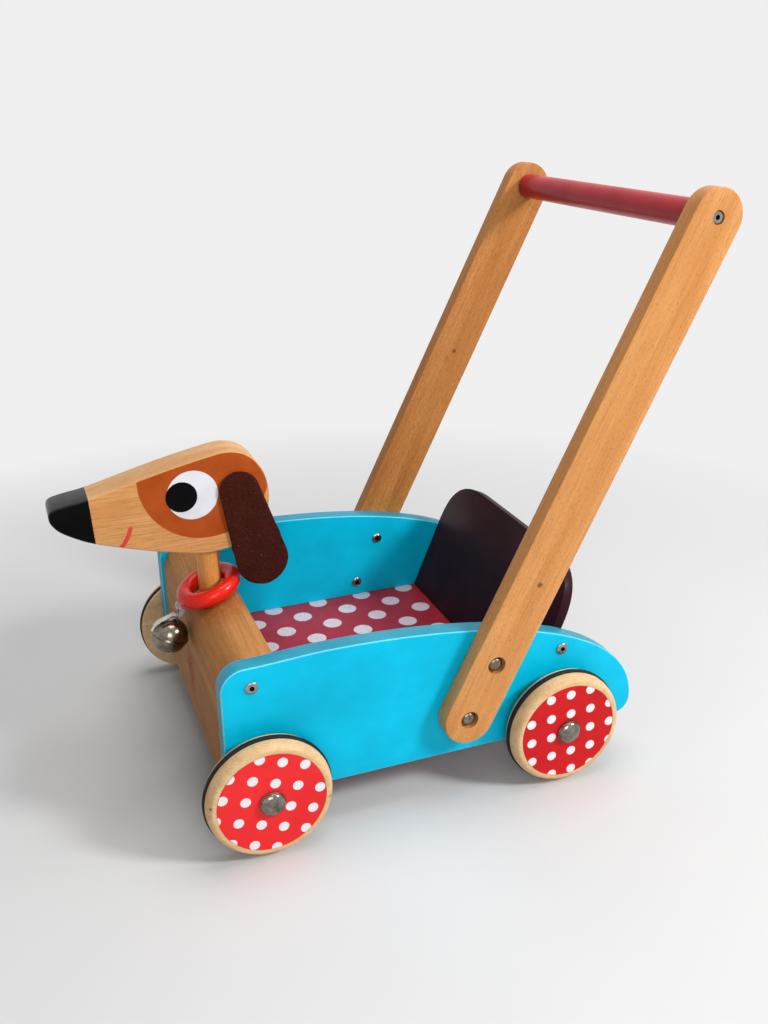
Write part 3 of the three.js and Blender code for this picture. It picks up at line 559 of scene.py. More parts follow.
def soften(mesh, angle):
    for face in mesh.polygons:
        face.use_smooth = True
    mesh.set_sharp_from_angle(angle=math.radians(angle))


def skin(bm, rows, around=True):
    """Joins each row of vertices to the next with quads, all the way round or as an open sheet."""
    for a, b in zip(rows, rows[1:]):
        for k in range(len(a) if around else len(a) - 1):
            n = (k + 1) % len(a)
            bm.faces.new([a[k], a[n], b[n], b[k]])


def lathe(name, profile, place=(0, 0), sign=1, segments=64, angle=30, upright=False):
    """Turns (radius, y) points about a y axis through place = (x, z), sign -1 mirroring them.

    Upright, it turns (radius, z) points about a z axis through place = (x, y).
    """
    bm = bmesh.new()
    rings = []
    for radius, run in profile:
        ring = []
        for i in range(segments if radius > 1e-6 else 1):
            turn = 2 * math.pi * (i + 0.5) / segments
            first, second = place[0] + radius * math.cos(turn), place[1] + radius * math.sin(turn)
            ring.append(bm.verts.new((first, second, run) if upright else (first, sign * run, second)))
        rings.append(ring)
    if profile[0] == profile[-1]:
        for v in rings[-1]:
            bm.verts.remove(v)
        rings[-1] = rings[0]
    for a, b in zip(rings, rings[1:]):
        for i in range(segments):
            j = (i + 1) % segments
            corners = [a[i % len(a)], a[j % len(a)], b[j % len(b)], b[i % len(b)]]
            unique = list(dict.fromkeys(corners))
            if len(unique) > 2:
                bm.faces.new(unique)
    return object_from(name, bm, angle)


def rod_profile(radius, low, high, chamfer=0.0, bore=0.0):
    """Section of a rod or, with a bore, of a tube that closes on itself."""
    points = [(bore, low), (radius - chamfer, low), (radius, low + chamfer)]
    points += [(radius, high - chamfer), (radius - chamfer, high), (bore, high)]
    return list(dict.fromkeys(points)) + ([(bore, low)] if bore else [])


def raised(profile, rise):
    return [(radius, run + rise) for radius, run in profile]


def drill(radius, low, high, place, sign, segments=32):
    """A rod about a y axis, to be cut out of something."""
    return lathe("drill", rod_profile(radius, low, high), place, sign, segments)


def box_mesh(name, low, high, bevel):
    bm = bmesh.new()
    size = Vector(high) - Vector(low)
    middle = (Vector(high) + Vector(low)) / 2
    bmesh.ops.create_cube(bm, size=1, matrix=Matrix.Translation(middle) @ Matrix.Diagonal((*size, 1)))
    if bevel:
        bmesh.ops.bevel(bm, geom=bm.edges[:], offset=bevel, segments=2, profile=0.5, affect="EDGES")
    return object_from(name, bm)


def arc_points(x, z, radius, start, end, steps, high=None):
    """Points on an arc or, with its own height, on a stretch of an ellipse."""
    turns = [start + (end - start) * i / steps for i in range(steps + 1)]
    return [(x + radius * math.cos(a), z + (high or radius) * math.sin(a)) for a in turns]


def bezier_points(a, b, c, d, steps):
    points = []
    for i in range(steps + 1):
        t = i / steps
        w = ((1 - t) ** 3, 3 * t * (1 - t) ** 2, 3 * t * t * (1 - t), t ** 3)
        points.append(tuple(sum(k * p[n] for k, p in zip(w, (a, b, c, d))) for n in (0, 1)))
    return points


def smooth_closed(points, steps):
    """A rounded closed line through the points."""
    made = []
    count = len(points)
    for i in range(count):
        p = [Vector(points[(i + k) % count]) for k in (-1, 0, 1, 2)]
        for n in range(steps):
            t = n / steps
            made.append(tuple(0.5 * (
                2 * p[1] + (p[2] - p[0]) * t + (2 * p[0] - 5 * p[1] + 4 * p[2] - p[3]) * t * t
                + (3 * p[1] - p[0] - 3 * p[2] + p[3]) * t ** 3
            )))
    return made


def slab(name, outline, y_low, y_high, bevel, steps=3, to_point=lambda x, z, y: (x, y, z)):
    """A slab with rounded edges. to_point places an outline point and a depth."""
    bm = bmesh.new()
    clean = []
    for point in outline:
        if not clean or (Vector(point) - Vector(clean[-1])).length > 1e-4:
            clean.append(point)
    if (Vector(clean[0]) - Vector(clean[-1])).length < 1e-4:
        clean.pop()
    low = [bm.verts.new(to_point(x, z, y_low)) for x, z in clean]
    high = [bm.verts.new(to_point(x, z, y_high)) for x, z in clean]
    caps = [bm.faces.new(low), bm.faces.new(high)]
    skin(bm, [low, high])
    bmesh.ops.recalc_face_normals(bm, faces=bm.faces)
    edges = list({e for cap in caps for e in cap.edges})
    bmesh.ops.bevel(
        bm, geom=edges, offset=bevel, segments=steps, profile=0.5, affect="EDGES", clamp_overlap=True
    )
    return object_from(name, bm)


def torus(name, radius, tube_radius, segments, around, place):
    """place turns a point of the flat ring into the cart's millimetres."""
    bm = bmesh.new()
    rings = []
    for i in range(segments):
        a = 2 * math.pi * i / segments
        ring = []
        for k in range(around):
            b = 2 * math.pi * k / around
            reach = radius + tube_radius * math.cos(b)
            flat = Vector((reach * math.cos(a), reach * math.sin(a), tube_radius * math.sin(b)))
            ring.append(bm.verts.new(place(flat)))
        rings.append(ring)
    skin(bm, rings + rings[:1])
    return object_from(name, bm, 60)


def merged(name, parts):
    """Joins several objects into one."""
    bm = bmesh.new()
    for part in parts:
        bm.from_mesh(part.data)
        bpy.data.objects.remove(part)
    mesh = bpy.data.meshes.new(name)
    bm.to_mesh(mesh)
    bm.free()
    soften(mesh, 45)
    return placed(name, mesh)


def cut_out(target, cutters, angle=35):
    """Cuts the cutters out of the target and removes them."""
    for cutter in cutters:
        modifier = target.modifiers.new("cut", "BOOLEAN")
        modifier.operation = "DIFFERENCE"
        modifier.solver = "EXACT"
        modifier.object = cutter
    graph = bpy.context.evaluated_depsgraph_get()
    mesh = bpy.data.meshes.new_from_object(target.evaluated_get(graph))
    target.modifiers.clear()
    target.data = mesh
    for cutter in cutters:
        bpy.data.objects.remove(cutter)
    soften(mesh, angle)


def dress(piece, body, materials, nodes):
    """Gives a piece its materials, each in a material slot, and its body, and hides the CAD nodes it stands
    in for.
    """
    piece.data.materials.clear()
    for name in [materials] if isinstance(materials, str) else materials:
        piece.data.materials.append(MATERIALS[name])
    if body:
        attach(piece, body)
    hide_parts(*([nodes] if isinstance(nodes, str) else nodes))
    return piece


def sort_faces(piece, choose):
    """Sets each face's material number from its normal and centre, in the cart's millimetres."""
    for face in piece.data.polygons:
        centre = face.center / MM + Vector((MIDDLE, 0, 0))
        face.material_index = choose(face.normal, centre)


# Bell cord
RING_X, RING_Z, RING_R, RING_TUBE = -5.7, 150.659, 20.2, 6.6
RING_TILT = math.radians(19)
BELL = Vector((-40.4, -4.0, 114.9))
BELL_R, BELL_WALL, BELL_TILT = 14.5, 0.8, math.radians(21)
EYE_R, EYE_WIRE = 3.6, 0.7
EYE_RISE = BELL_R - BELL_WALL / 2 + EYE_R + EYE_WIRE
CORD_R = 0.9
STRAND = CORD_R + GAP
CORD_TAIL, CORD_END = 62, 3.0
CORD_RUN = [(-25.8, -2.6, -13.6), (-26.3, 5, -8.6), (-22, 8.6, -9.2), (-16, 9.2, -9.1)]
CORD_TURN_IN = (-9.8, 10.3, -5)
CORD_LOOP = range(-15, 286, 20)


def on_bell(turn, radius, side):
    return BELL + Vector((radius * math.sin(turn), side, radius * math.cos(turn)))


def outside_eye(side):
    along = Vector((math.cos(BELL_TILT), 0, -math.sin(BELL_TILT)))
    return on_bell(BELL_TILT, EYE_RISE, side) - CORD_END * along


def cord_run(side):
    middle = [on_bell(BELL_TILT, EYE_RISE, 0)]
    middle += [Vector((NECK_X + x, y, BLOCK_TOP + z)) for x, y, z in CORD_RUN]
    points = [on_bell(BELL_TILT, EYE_RISE, side)]
    for i in range(1, len(middle)):
        heading = middle[min(i + 1, len(middle) - 1)] - middle[i - 1]
        points.append(middle[i] + side * Vector((-heading.y, heading.x, 0)).normalized())
    return points


def cord_loop():
    radius, clear = NECK_R + CORD_R + 3 * GAP, CORD_R + 2 * GAP
    points = []
    for degrees in CORD_LOOP:
        turn = math.radians(degrees)
        x = NECK_X - radius * math.cos(turn)
        out = max(BLOCK_ROUND - BLOCK_FRONT - x, 0)
        height = BLOCK_TOP - BLOCK_ROUND + math.sqrt((BLOCK_ROUND + clear) ** 2 - out ** 2)
        points.append(Vector((x, -radius * math.sin(turn), height)))
    return points


def cord_route():
    """From the tail on the bell, through its eye, under the ring, round the neck and back to the eye."""
    lay = BELL_R + CORD_R + 2 * GAP
    points = [on_bell(math.radians(-share * CORD_TAIL), lay, -STRAND) for share in (1, 0.6, 0.2)]
    points += [outside_eye(-STRAND), *cord_run(-STRAND), *cord_loop()]
    points.append(Vector((NECK_X + CORD_TURN_IN[0], CORD_TURN_IN[1], BLOCK_TOP + CORD_TURN_IN[2])))
    return points + cord_run(STRAND)[::-1] + [outside_eye(STRAND)]


def catmull(points, steps):
    """Points on a rounded open line through the points, spaced as its centripetal spline."""
    p = [Vector(q) for q in points]
    p = [2 * p[0] - p[1]] + p + [2 * p[-1] - p[-2]]
    made = []
    for a, b, c, d in zip(p, p[1:], p[2:], p[3:]):
        before, here, after = ((u - v).length ** 0.5 for u, v in ((b, a), (c, b), (d, c)))
        pull = (b - a) / before - (c - a) / (before + here) + (c - b) / here
        push = (c - b) / here - (d - b) / (here + after) + (d - c) / after
        for n in range(steps):
            t = n / steps
            made.append(
                b * (2 * t ** 3 - 3 * t * t + 1) + c * (3 * t * t - 2 * t ** 3)
                + pull * here * (t ** 3 - 2 * t * t + t) + push * here * (t ** 3 - t * t)
            )
    made.append(p[-2])
    return made


def tube(name, path, radius, lobes=0, depth=0.0, pitch=3.0, around=18):
    """A tube along a path in the cart's millimetres, its section lobed and twisted like a cord."""
    bm = bmesh.new()
    rings, run = [], 0.0
    side = Vector((0, 1, 0))
    for i, point in enumerate(path):
        ahead = (path[min(i + 1, len(path) - 1)] - path[max(i - 1, 0)]).normalized()
        side = (side - ahead * side.dot(ahead)).normalized()
        up = ahead.cross(side)
        if i:
            run += (point - path[i - 1]).length
        ring = []
        for k in range(around):
            angle = 2 * math.pi * k / around
            wave = 1 - depth * (0.5 - 0.5 * math.cos(lobes * angle - 2 * math.pi * run / pitch))
            ring.append(bm.verts.new(point + radius * wave * (math.cos(angle) * side + math.sin(angle) * up)))
        rings.append(ring)
    skin(bm, rings)
    bm.faces.new(rings[0])
    bm.faces.new(rings[-1])
    return object_from(name, bm, 60)


def frayed_tail(tail, rng):
    """Loose cotton fibres that stand off the cord's tail and run a little past its tip."""
    fibres = []
    for number in range(TAIL_FIBRES):
        start, stop = rng.randint(0, 12), rng.randint(16, len(tail) - 1)
        spread, turn = rng.uniform(0.6, 2.3), rng.uniform(-0.5, math.pi + 0.5)
        path = []
        for step, point in enumerate(tail[start:stop]):
            share = math.sin(math.pi * min(step / (stop - start), 0.85))
            out = (point - BELL).normalized()
            lift = 0.9 * spread * share * max(math.sin(turn), 0) + 0.1 * CORD_R
            sideways = (spread * math.cos(turn) + 0.35 * math.sin(step * 0.9 + number)) * share
            path.append(point + lift * out + Vector((0, sideways, 0)))
        fibres.append(tube(f"fibre_{number}", path, rng.uniform(0.11, 0.2), around=6))
    return fibres


def fluff(strand, rng):
    """Short fibres that arch off a hanging strand."""
    fibres = []
    for number in range(STRAND_FIBRES):
        count = rng.randint(5, 8)
        start = rng.randint(0, len(strand) - count - 1)
        turn, height = rng.uniform(0, 2 * math.pi), rng.uniform(0.2, 1.5)
        path = []
        for step in range(count):
            point = strand[start + step]
            ahead = (strand[start + step + 1] - point).normalized()
            side = ahead.cross(Vector((1, 0, 0))).normalized()
            off = math.cos(turn + 0.25 * step) * side + math.sin(turn + 0.25 * step) * ahead.cross(side)
            arch = math.sin(math.pi * step / (count - 1))
            path.append(point + (0.85 * CORD_R + height * arch) * off)
        fibres.append(tube(f"fluff_{number}", path, rng.uniform(0.09, 0.16), around=5))
    return fibres


STEPS = 10
LOBE_DEPTH = 0.2
TAIL_FIBRES, STRAND_FIBRES = 90, 160
cord_line = catmull(cord_route(), STEPS)
bell_cord = tube("cord_twisted", cord_line, CORD_R / (1 - LOBE_DEPTH / 2), 3, LOBE_DEPTH, pitch=6)
dress(bell_cord, None, "cotton", ["cord_long_strand", "cord_neck_loop", "cord_short_strand"])
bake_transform(bell_cord)
rng = random.Random(7)
fibres = frayed_tail(cord_line[:4 * STEPS][::-1], rng)
for strand in (cord_line[4 * STEPS:6 * STEPS - 3], cord_line[::-1][STEPS:3 * STEPS - 3]):
    fibres += fluff(strand, rng)
fray = dress(merged("cord_fray", fibres), "cord", "cotton", [])


# Side panels
PANEL_CREST, PANEL_TAIL = (52.7, 148.0), 71.3
PANEL_FRONT_R, PANEL_LOW_R, PANEL_BEVEL = 18.0, 14.0, 0.8
CREST_HANDLE_SHARE, TAIL_HANDLE_SHARE = 0.512, 0.71
BOLT_R, SLEEVE_R, SCREW_R = 3.0, 4.2, 2.6


def inside_board(rise):
    """The point in the middle of the leaning board's thickness at a height along it."""
    half = BOARD_THICK / 2
    x = BOARD_FOOT + rise * math.sin(BOARD_LEAN) + half * math.cos(BOARD_LEAN)
    return x, FLOOR_TOP + rise * math.cos(BOARD_LEAN) - half * math.sin(BOARD_LEAN)


SCREWS = {
    "front_upper": (NECK_X, BLOCK_TOP - 15.5),
    "front_lower": (NECK_X, BLOCK_TOP - 70.5),
    "rear_upper": inside_board(55.8),
    "rear_lower": inside_board(20),
}


def panel_outline():
    front_x, crest = PANEL_FRONT_R - PANEL_NOSE, PANEL_CREST
    low_z, tail_x = PANEL_BOTTOM + PANEL_LOW_R, WHEELBASE + PANEL_TAIL
    pull = (crest[0] - front_x) / 3
    over_crest = (crest[0] + (tail_x - crest[0]) * CREST_HANDLE_SHARE, crest[1])
    over_tail = (tail_x, low_z + (crest[1] - low_z) * TAIL_HANDLE_SHARE)
    points = arc_points(front_x, BLOCK_TOP - PANEL_FRONT_R, PANEL_FRONT_R, math.pi, math.pi / 2, 20)
    points += bezier_points(
        (front_x, BLOCK_TOP), (front_x + pull, BLOCK_TOP), (crest[0] - pull, crest[1]), crest, 12
    )
    points += bezier_points(crest, over_crest, over_tail, (tail_x, low_z), 72)
    points += arc_points(tail_x - PANEL_LOW_R, low_z, PANEL_LOW_R, 0, -math.pi / 2, 16)
    return points + arc_points(PANEL_LOW_R - PANEL_NOSE, low_z, PANEL_LOW_R, -math.pi / 2, -math.pi, 16)


def flat_edge_or_rim(normal, centre):
    """The flat paint is first, a darker, greyer blue on the narrow edges second and a lighter, glossier blue
    on the rounding between them third, as a painted highlight.
    """
    side = abs(normal.y)
    return 0 if side > 0.98 else 1 if side < 0.2 else 2


def make_panel(side, sign):
    low, high = sorted((sign * PANEL_IN, sign * PANEL_OUT))
    panel = slab(f"panel_{side}_painted", panel_outline(), low, high, PANEL_BEVEL)
    holes = []
    for radius, places in ((BOLT_R, BOLTS), (SCREW_R, SCREWS), (AXLE_R, AXLES)):
        for place in places.values():
            holes.append(drill(radius + GAP, PANEL_IN - OVER, PANEL_OUT + OVER, place, sign))
    near, far = sorted((sign * (PANEL_IN - OVER), sign * (PANEL_IN + GROOVE_DEPTH)))
    groove_low = (BLOCK_REAR, near, FLOOR_TOP - FLOOR_THICK - GAP)
    holes.append(box_mesh("groove", groove_low, (FLOOR_END + GAP, far, FLOOR_TOP + GAP), 0))
    cut_out(panel, holes)
    dress(panel, "cart", ["blue", "blue_edge", "blue_highlight_rim"], f"side_panel_{side}")
    sort_faces(panel, flat_edge_or_rim)


for side, sign in SIDES.items():
    make_panel(side, sign)


# Floor, front block and rear board
BLOCK_BEVEL, BOARD_BEVEL = 0.5, 1.0
BOARD_HEIGHT, BOARD_CORNER = 118.0, (58.0, 48.0)
CORNER_SHARE = 0.3
INSIDE_HALF = PANEL_IN - GAP


def make_floor():
    half = PANEL_IN + GROOVE_DEPTH - GAP
    low = (BLOCK_REAR + GAP, -half, FLOOR_TOP - FLOOR_THICK)
    floor = box_mesh("floor_dotted", low, (FLOOR_END, half, FLOOR_TOP), BLOCK_BEVEL)
    dress(floor, "cart", "floor", "floor_board")


def make_block():
    centre = (BLOCK_ROUND - BLOCK_FRONT, BLOCK_TOP - BLOCK_ROUND)
    outline = arc_points(*centre, BLOCK_ROUND, math.pi / 2, math.pi, 32)
    outline += [(-BLOCK_FRONT, PANEL_BOTTOM), (BLOCK_REAR, PANEL_BOTTOM), (BLOCK_REAR, BLOCK_TOP)]
    block = slab("block_turned_edge", outline, -INSIDE_HALF, INSIDE_HALF, BLOCK_BEVEL)
    bore = rod_profile(NECK_R + GAP, BLOCK_TOP - NECK_GRIP - GAP, BLOCK_TOP + OVER)
    neck_hole = lathe("drill", bore, (NECK_X, 0), upright=True)
    bore = rod_profile(AXLE_HOLE, -PANEL_IN - OVER, PANEL_IN + OVER)
    cut_out(block, [neck_hole, lathe("drill", bore, AXLES["front"])])
    dress(block, "cart", "block", "front_block")


def board_outline():
    """Across and up the board. The points under 0 stand for the foot, which is cut level with the floor."""
    wide, high = BOARD_CORNER
    corner = [
        (INSIDE_HALF, BOARD_HEIGHT - high), (INSIDE_HALF, BOARD_HEIGHT - high * CORNER_SHARE),
        (INSIDE_HALF - wide * CORNER_SHARE, BOARD_HEIGHT), (INSIDE_HALF - wide, BOARD_HEIGHT),
    ]
    mirror = [(-y, up) for y, up in reversed(corner)]
    foot = [(-INSIDE_HALF, -BOARD_THICK), (INSIDE_HALF, -BOARD_THICK)]
    return bezier_points(*corner, 24) + bezier_points(*mirror, 24) + foot


def on_board(y, up, depth):
    if up < 0:
        up = (GAP + depth * math.sin(BOARD_LEAN)) / math.cos(BOARD_LEAN)
    x = BOARD_FOOT + up * math.sin(BOARD_LEAN) + depth * math.cos(BOARD_LEAN)
    return x, y, FLOOR_TOP + up * math.cos(BOARD_LEAN) - depth * math.sin(BOARD_LEAN)


make_floor()
make_block()
board = slab("board_lacquered", board_outline(), 0, BOARD_THICK, BOARD_BEVEL, to_point=on_board)
dress(board, "cart", "aubergine", "rear_board")


# Wheels
WHEEL_OUT, WHEEL_WIDTH, WHEEL_R = 153.0, 16.5, 46.8
WHEEL_IN = WHEEL_OUT - WHEEL_WIDTH
LIP, GROOVE_R, LIP_ROUND, BACK_ROUND = 2.4, 44.3, 0.3, 0.5
EDGE_DROP, EDGE_RUN = 4.5, 9.0
TREAD, TREAD_R, TREAD_ROUND = 3.8, 48.0, 1.0
FACE_R, FACE_THICK, FACE_ROUND = 40.0, 0.6, 0.15
RECESS_R, RECESS_ROUND = FACE_R + GAP, 0.2
CAP_SEAT = WHEEL_OUT + GAP
# Points of radius and rise over the cap's seat
CAP_RIM = [(AXLE_HOLE, 0), (9.2, 0), (9.75, 0.5), (9.75, 1.0), (9.45, 1.45)]
CAP_DOME_R, CAP_DOME_HIGH, CAP_DOME_END = 9.3, 4.15, math.radians(75)
CAP_DIMPLE = [(1.5, 5.53), (1.3, 5.2), (0.6, 5.0), (0, 5.0)]
CAP_BORE = [(0, 3.9), (AXLE_HOLE, 3.9), (AXLE_HOLE, 0)]
SPACER_R, SPACER_CHAMFER = 9.0, 0.2
AXLE_STUB, AXLE_CHAMFER = 3.6, 0.6


def wheel_profile():
    """A thin lip, the tread's groove and a rim that rounds off to the face, whose disc has a recess."""
    lip, groove = WHEEL_IN + LIP, WHEEL_IN + LIP + TREAD + 2 * GAP
    recess, inner_r = WHEEL_OUT - FACE_THICK - GAP, WHEEL_R - LIP_ROUND
    points = [(AXLE_HOLE, WHEEL_IN), (WHEEL_R - BACK_ROUND, WHEEL_IN), (WHEEL_R, WHEEL_IN + BACK_ROUND)]
    points += [(WHEEL_R, lip - LIP_ROUND), (inner_r, lip), (GROOVE_R, lip)]
    points += [(GROOVE_R, groove), (inner_r, groove), (WHEEL_R, groove + LIP_ROUND)]
    points += arc_points(WHEEL_R - EDGE_DROP, WHEEL_OUT - EDGE_RUN, EDGE_DROP, 0, math.pi / 2, 14, EDGE_RUN)
    points += [(RECESS_R + RECESS_ROUND, WHEEL_OUT), (RECESS_R, WHEEL_OUT - RECESS_ROUND), (RECESS_R, recess)]
    return points + [(AXLE_HOLE, recess), (AXLE_HOLE, WHEEL_IN)]


def tread_profile():
    """A rubber band with rounded shoulders."""
    inside, bore = WHEEL_IN + LIP + GAP, GROOVE_R + GAP
    points = [(bore, inside)]
    for middle, start in ((inside + TREAD_ROUND, -math.pi / 2), (inside + TREAD - TREAD_ROUND, 0)):
        points += arc_points(TREAD_R - TREAD_ROUND, middle, TREAD_ROUND, start, start + math.pi / 2, 6)
    return points + [(bore, inside + TREAD), (bore, inside)]


def disc_profile():
    back = WHEEL_OUT - FACE_THICK
    points = [(AXLE_HOLE, back), (FACE_R, back), (FACE_R, WHEEL_OUT - FACE_ROUND)]
    return points + [(FACE_R - FACE_ROUND, WHEEL_OUT), (AXLE_HOLE, WHEEL_OUT), (AXLE_HOLE, back)]


def cap_profile():
    dome = arc_points(0, CAP_RIM[-1][1], CAP_DOME_R, 0, CAP_DOME_END, 10, CAP_DOME_HIGH)
    return raised(CAP_RIM + dome + CAP_DIMPLE + CAP_BORE, CAP_SEAT)


def make_wheel(end, side, place, sign):
    tag, body = f"{end}_{side}", f"wheel_{end}_{side}_body"
    dress(lathe(f"rim_{tag}", wheel_profile(), place, sign, 128), body, "wheel", f"wheel_{tag}")
    tyre = lathe(f"tyre_{tag}", tread_profile(), place, sign, 128)
    dress(tyre, body, "rubber", f"tread_{tag}")
    disc = lathe(f"disc_{tag}", disc_profile(), place, sign, 128)
    dress(disc, body, f"disc_{end}", f"wheel_face_{tag}")
    cap = lathe(f"cap_{tag}", cap_profile(), place, sign)
    dress(cap, "cart", "chrome", f"hub_cap_{tag}")
    profile = rod_profile(SPACER_R, PANEL_OUT + GAP, WHEEL_IN - GAP, SPACER_CHAMFER, AXLE_HOLE)
    spacer = lathe(f"spacer_{tag}", profile, place, sign, 48)
    dress(spacer, "cart", "nylon", f"wheel_washer_{tag}")


for end, place in AXLES.items():
    for side, sign in SIDES.items():
        make_wheel(end, side, place, sign)
    tip = CAP_SEAT + AXLE_STUB
    rod = lathe(f"axle_rod_{end}", rod_profile(AXLE_R, -tip, tip, AXLE_CHAMFER), place)
    dress(rod, "cart", "steel", f"axle_{end}")


# Handles, grip and screws
HANDLE_BEVEL, WELL_DEPTH = 0.9, 5.0
WELL_SEAT = HANDLE_OUT - WELL_DEPTH + GAP
NUT_WELL_R, GRIP_WELL_R = 7.2, 4.9
GRIP_R, GRIP_CHAMFER, GRIP_SCREW_R = 10.5, 0.6, 2.5
SCREW_BITE = 30.0
BOLT_SEAT = PANEL_IN - GAP
# Points of radius and rise over the head's or the nut's seat
BOLT_HEAD = [(0, -1.3), (2.5, -1.3), (3.3, -1.2), (4.0, -0.95), (4.5, -0.6), (4.8, -0.2), (4.7, 0)]
NUT_FLANGE = [(SLEEVE_R, 0), (6.2, 0), (6.4, 0.2), (6.4, 0.8), (6.1, 1.05)]
NUT_DOME_R, NUT_DOME_LOW, NUT_DOME_HIGH, SLEEVE_SHORT = 5.7, 1.1, 3.3, 1.1
GRIP_SCREW_HEAD = [(GRIP_SCREW_R, 0), (4.2, 0), (4.4, 0.2), (4.4, 3.2), (4.0, 3.6), (0, 3.6)]
PANEL_SCREW_HEAD = [
    (SCREW_R, 0), (4.6, 0), (4.7, 0.1), (4.7, 0.5), (4.5, 0.8), (4.0, 1.05), (3.3, 1.22), (2.5, 1.3),
    (0, 1.3),
]
BOLT_SOCKET_R, GRIP_SOCKET_R, SCREW_SOCKET_R = 2.2, 2.0, 2.1
BOLT_SOCKET_DEPTH, SOCKET_DEPTH = 2.4, 2.2


def hex_screw(name, node, profile, place, sign, socket_r, low, high):
    """A turned screw with a hex socket from low to high, whose inside takes the dark second material as
    painted shade.
    """
    screw = lathe(name, profile, place, sign, 48)
    cut_out(screw, [drill(socket_r, low, high, place, sign, 6)], 30)
    dress(screw, "cart", ["steel", "recess"], node)
    reach = socket_r + 0.05
    sort_faces(screw, lambda _, centre: int(math.hypot(centre.x - place[0], centre.z - place[1]) < reach))


def make_handle(side, sign):
    turn = math.pi - HANDLE_LEAN
    outline = arc_points(*GRIP, HANDLE_R, turn - math.pi, turn, 40)
    outline += arc_points(*HANDLE_FOOT, HANDLE_R, turn, turn + math.pi, 40)
    low, high = sorted((sign * HANDLE_IN, sign * HANDLE_OUT))
    handle = slab(f"handle_{side}_varnished", outline, low, high, HANDLE_BEVEL)
    holes = []
    for place, radius, well_r in (
        (GRIP, GRIP_SCREW_R, GRIP_WELL_R), (BOLTS["lower"], SLEEVE_R, NUT_WELL_R),
        (BOLTS["upper"], SLEEVE_R, NUT_WELL_R),
    ):
        holes.append(drill(radius + GAP, HANDLE_IN - OVER, HANDLE_OUT + OVER, place, sign))
        holes.append(drill(well_r, HANDLE_OUT - WELL_DEPTH, HANDLE_OUT + OVER, place, sign, 48))
    cut_out(handle, holes)
    dress(handle, "cart", f"handle_{side}", f"handle_{side}")


def make_bolt(side, sign, level, place):
    """A bolt whose head lies on the panel's inner face, and the domed nut in the handle's outer face."""
    tag = f"{side}_{level}"
    low, high = PANEL_IN - OVER, BOLT_SEAT + BOLT_HEAD[0][1] + BOLT_SOCKET_DEPTH
    profile = raised(BOLT_HEAD, BOLT_SEAT) + [(BOLT_R, BOLT_SEAT), (BOLT_R, WELL_SEAT), (0, WELL_SEAT)]
    hex_screw(f"bolt_{tag}", f"handle_bolt_{tag}", profile, place, sign, BOLT_SOCKET_R, low, high)
    bore, foot = BOLT_R + GAP, HANDLE_IN + SLEEVE_SHORT
    dome = arc_points(0, NUT_DOME_LOW, NUT_DOME_R, 0, math.pi / 2, 8, NUT_DOME_HIGH)
    profile = [(bore, foot), (SLEEVE_R, foot)] + raised(NUT_FLANGE + dome, WELL_SEAT)
    profile += [(0, WELL_SEAT + 2 * GAP), (bore, WELL_SEAT + 2 * GAP), (bore, foot)]
    nut = lathe(f"nut_{tag}", profile, place, sign, 48)
    dress(nut, "cart", "nut", f"handle_nut_{tag}")


def headed(shank_r, low, head, seat):
    """Section of a screw whose shank starts at low and whose head lies on its seat."""
    return [(0, low), (shank_r, low)] + raised(head, seat)


for side, sign in SIDES.items():
    make_handle(side, sign)
    for level, place in BOLTS.items():
        make_bolt(side, sign, level, place)

    profile = headed(GRIP_SCREW_R, PANEL_OUT - SCREW_BITE, GRIP_SCREW_HEAD, WELL_SEAT)
    socket = GRIP_SOCKET_R, profile[-1][1] - SOCKET_DEPTH, HANDLE_OUT + OVER
    hex_screw(f"screw_{side}_grip", f"grip_screw_{side}", profile, GRIP, sign, *socket)

    profile = headed(SCREW_R, INSIDE_HALF - SCREW_BITE, PANEL_SCREW_HEAD, PANEL_OUT + GAP)
    socket = SCREW_SOCKET_R, profile[-1][1] - SOCKET_DEPTH, PANEL_OUT + OVER
    for spot, place in SCREWS.items():
        hex_screw(f"screw_{side}_{spot}", f"panel_screw_{side}_{spot}", profile, place, sign, *socket)

grip = lathe("grip_lacquered", rod_profile(GRIP_R, -PANEL_OUT, PANEL_OUT, GRIP_CHAMFER), GRIP, segments=96)
bores = (GRIP_SCREW_R + GAP, PANEL_OUT - SCREW_BITE - GAP, PANEL_OUT + OVER, GRIP)
cut_out(grip, [drill(*bores, sign) for sign in (1, -1)])
dress(grip, "cart", "grip", "grip_bar")


# Head and neck
HEAD_REACH, HEAD_LENGTH, HEAD_HEIGHT, HEAD_HALF, HEAD_BEVEL = 115.0, 163.5, 80.0, 15.0, 1.3
NECK_CHAMFER = 0.4
# Shares of the length from nose to nape and of the height from jaw to crown
HEAD_SHARES = [
    (0, 0.568), (0.007, 0.624), (0.034, 0.655), (0.095, 0.68), (0.18, 0.71), (0.396, 0.825),
    (0.541, 0.899), (0.706, 0.971), (0.792, 1), (0.853, 0.99), (0.908, 0.943), (0.951, 0.855),
    (0.985, 0.73), (1, 0.58), (0.997, 0.418), (0.969, 0.243), (0.914, 0.111), (0.823, 0.034),
    (0.713, 0), (0.605, 0.024), (0.425, 0.11), (0.291, 0.19), (0.187, 0.261), (0.119, 0.324),
    (0.043, 0.421), (0.009, 0.505),
]


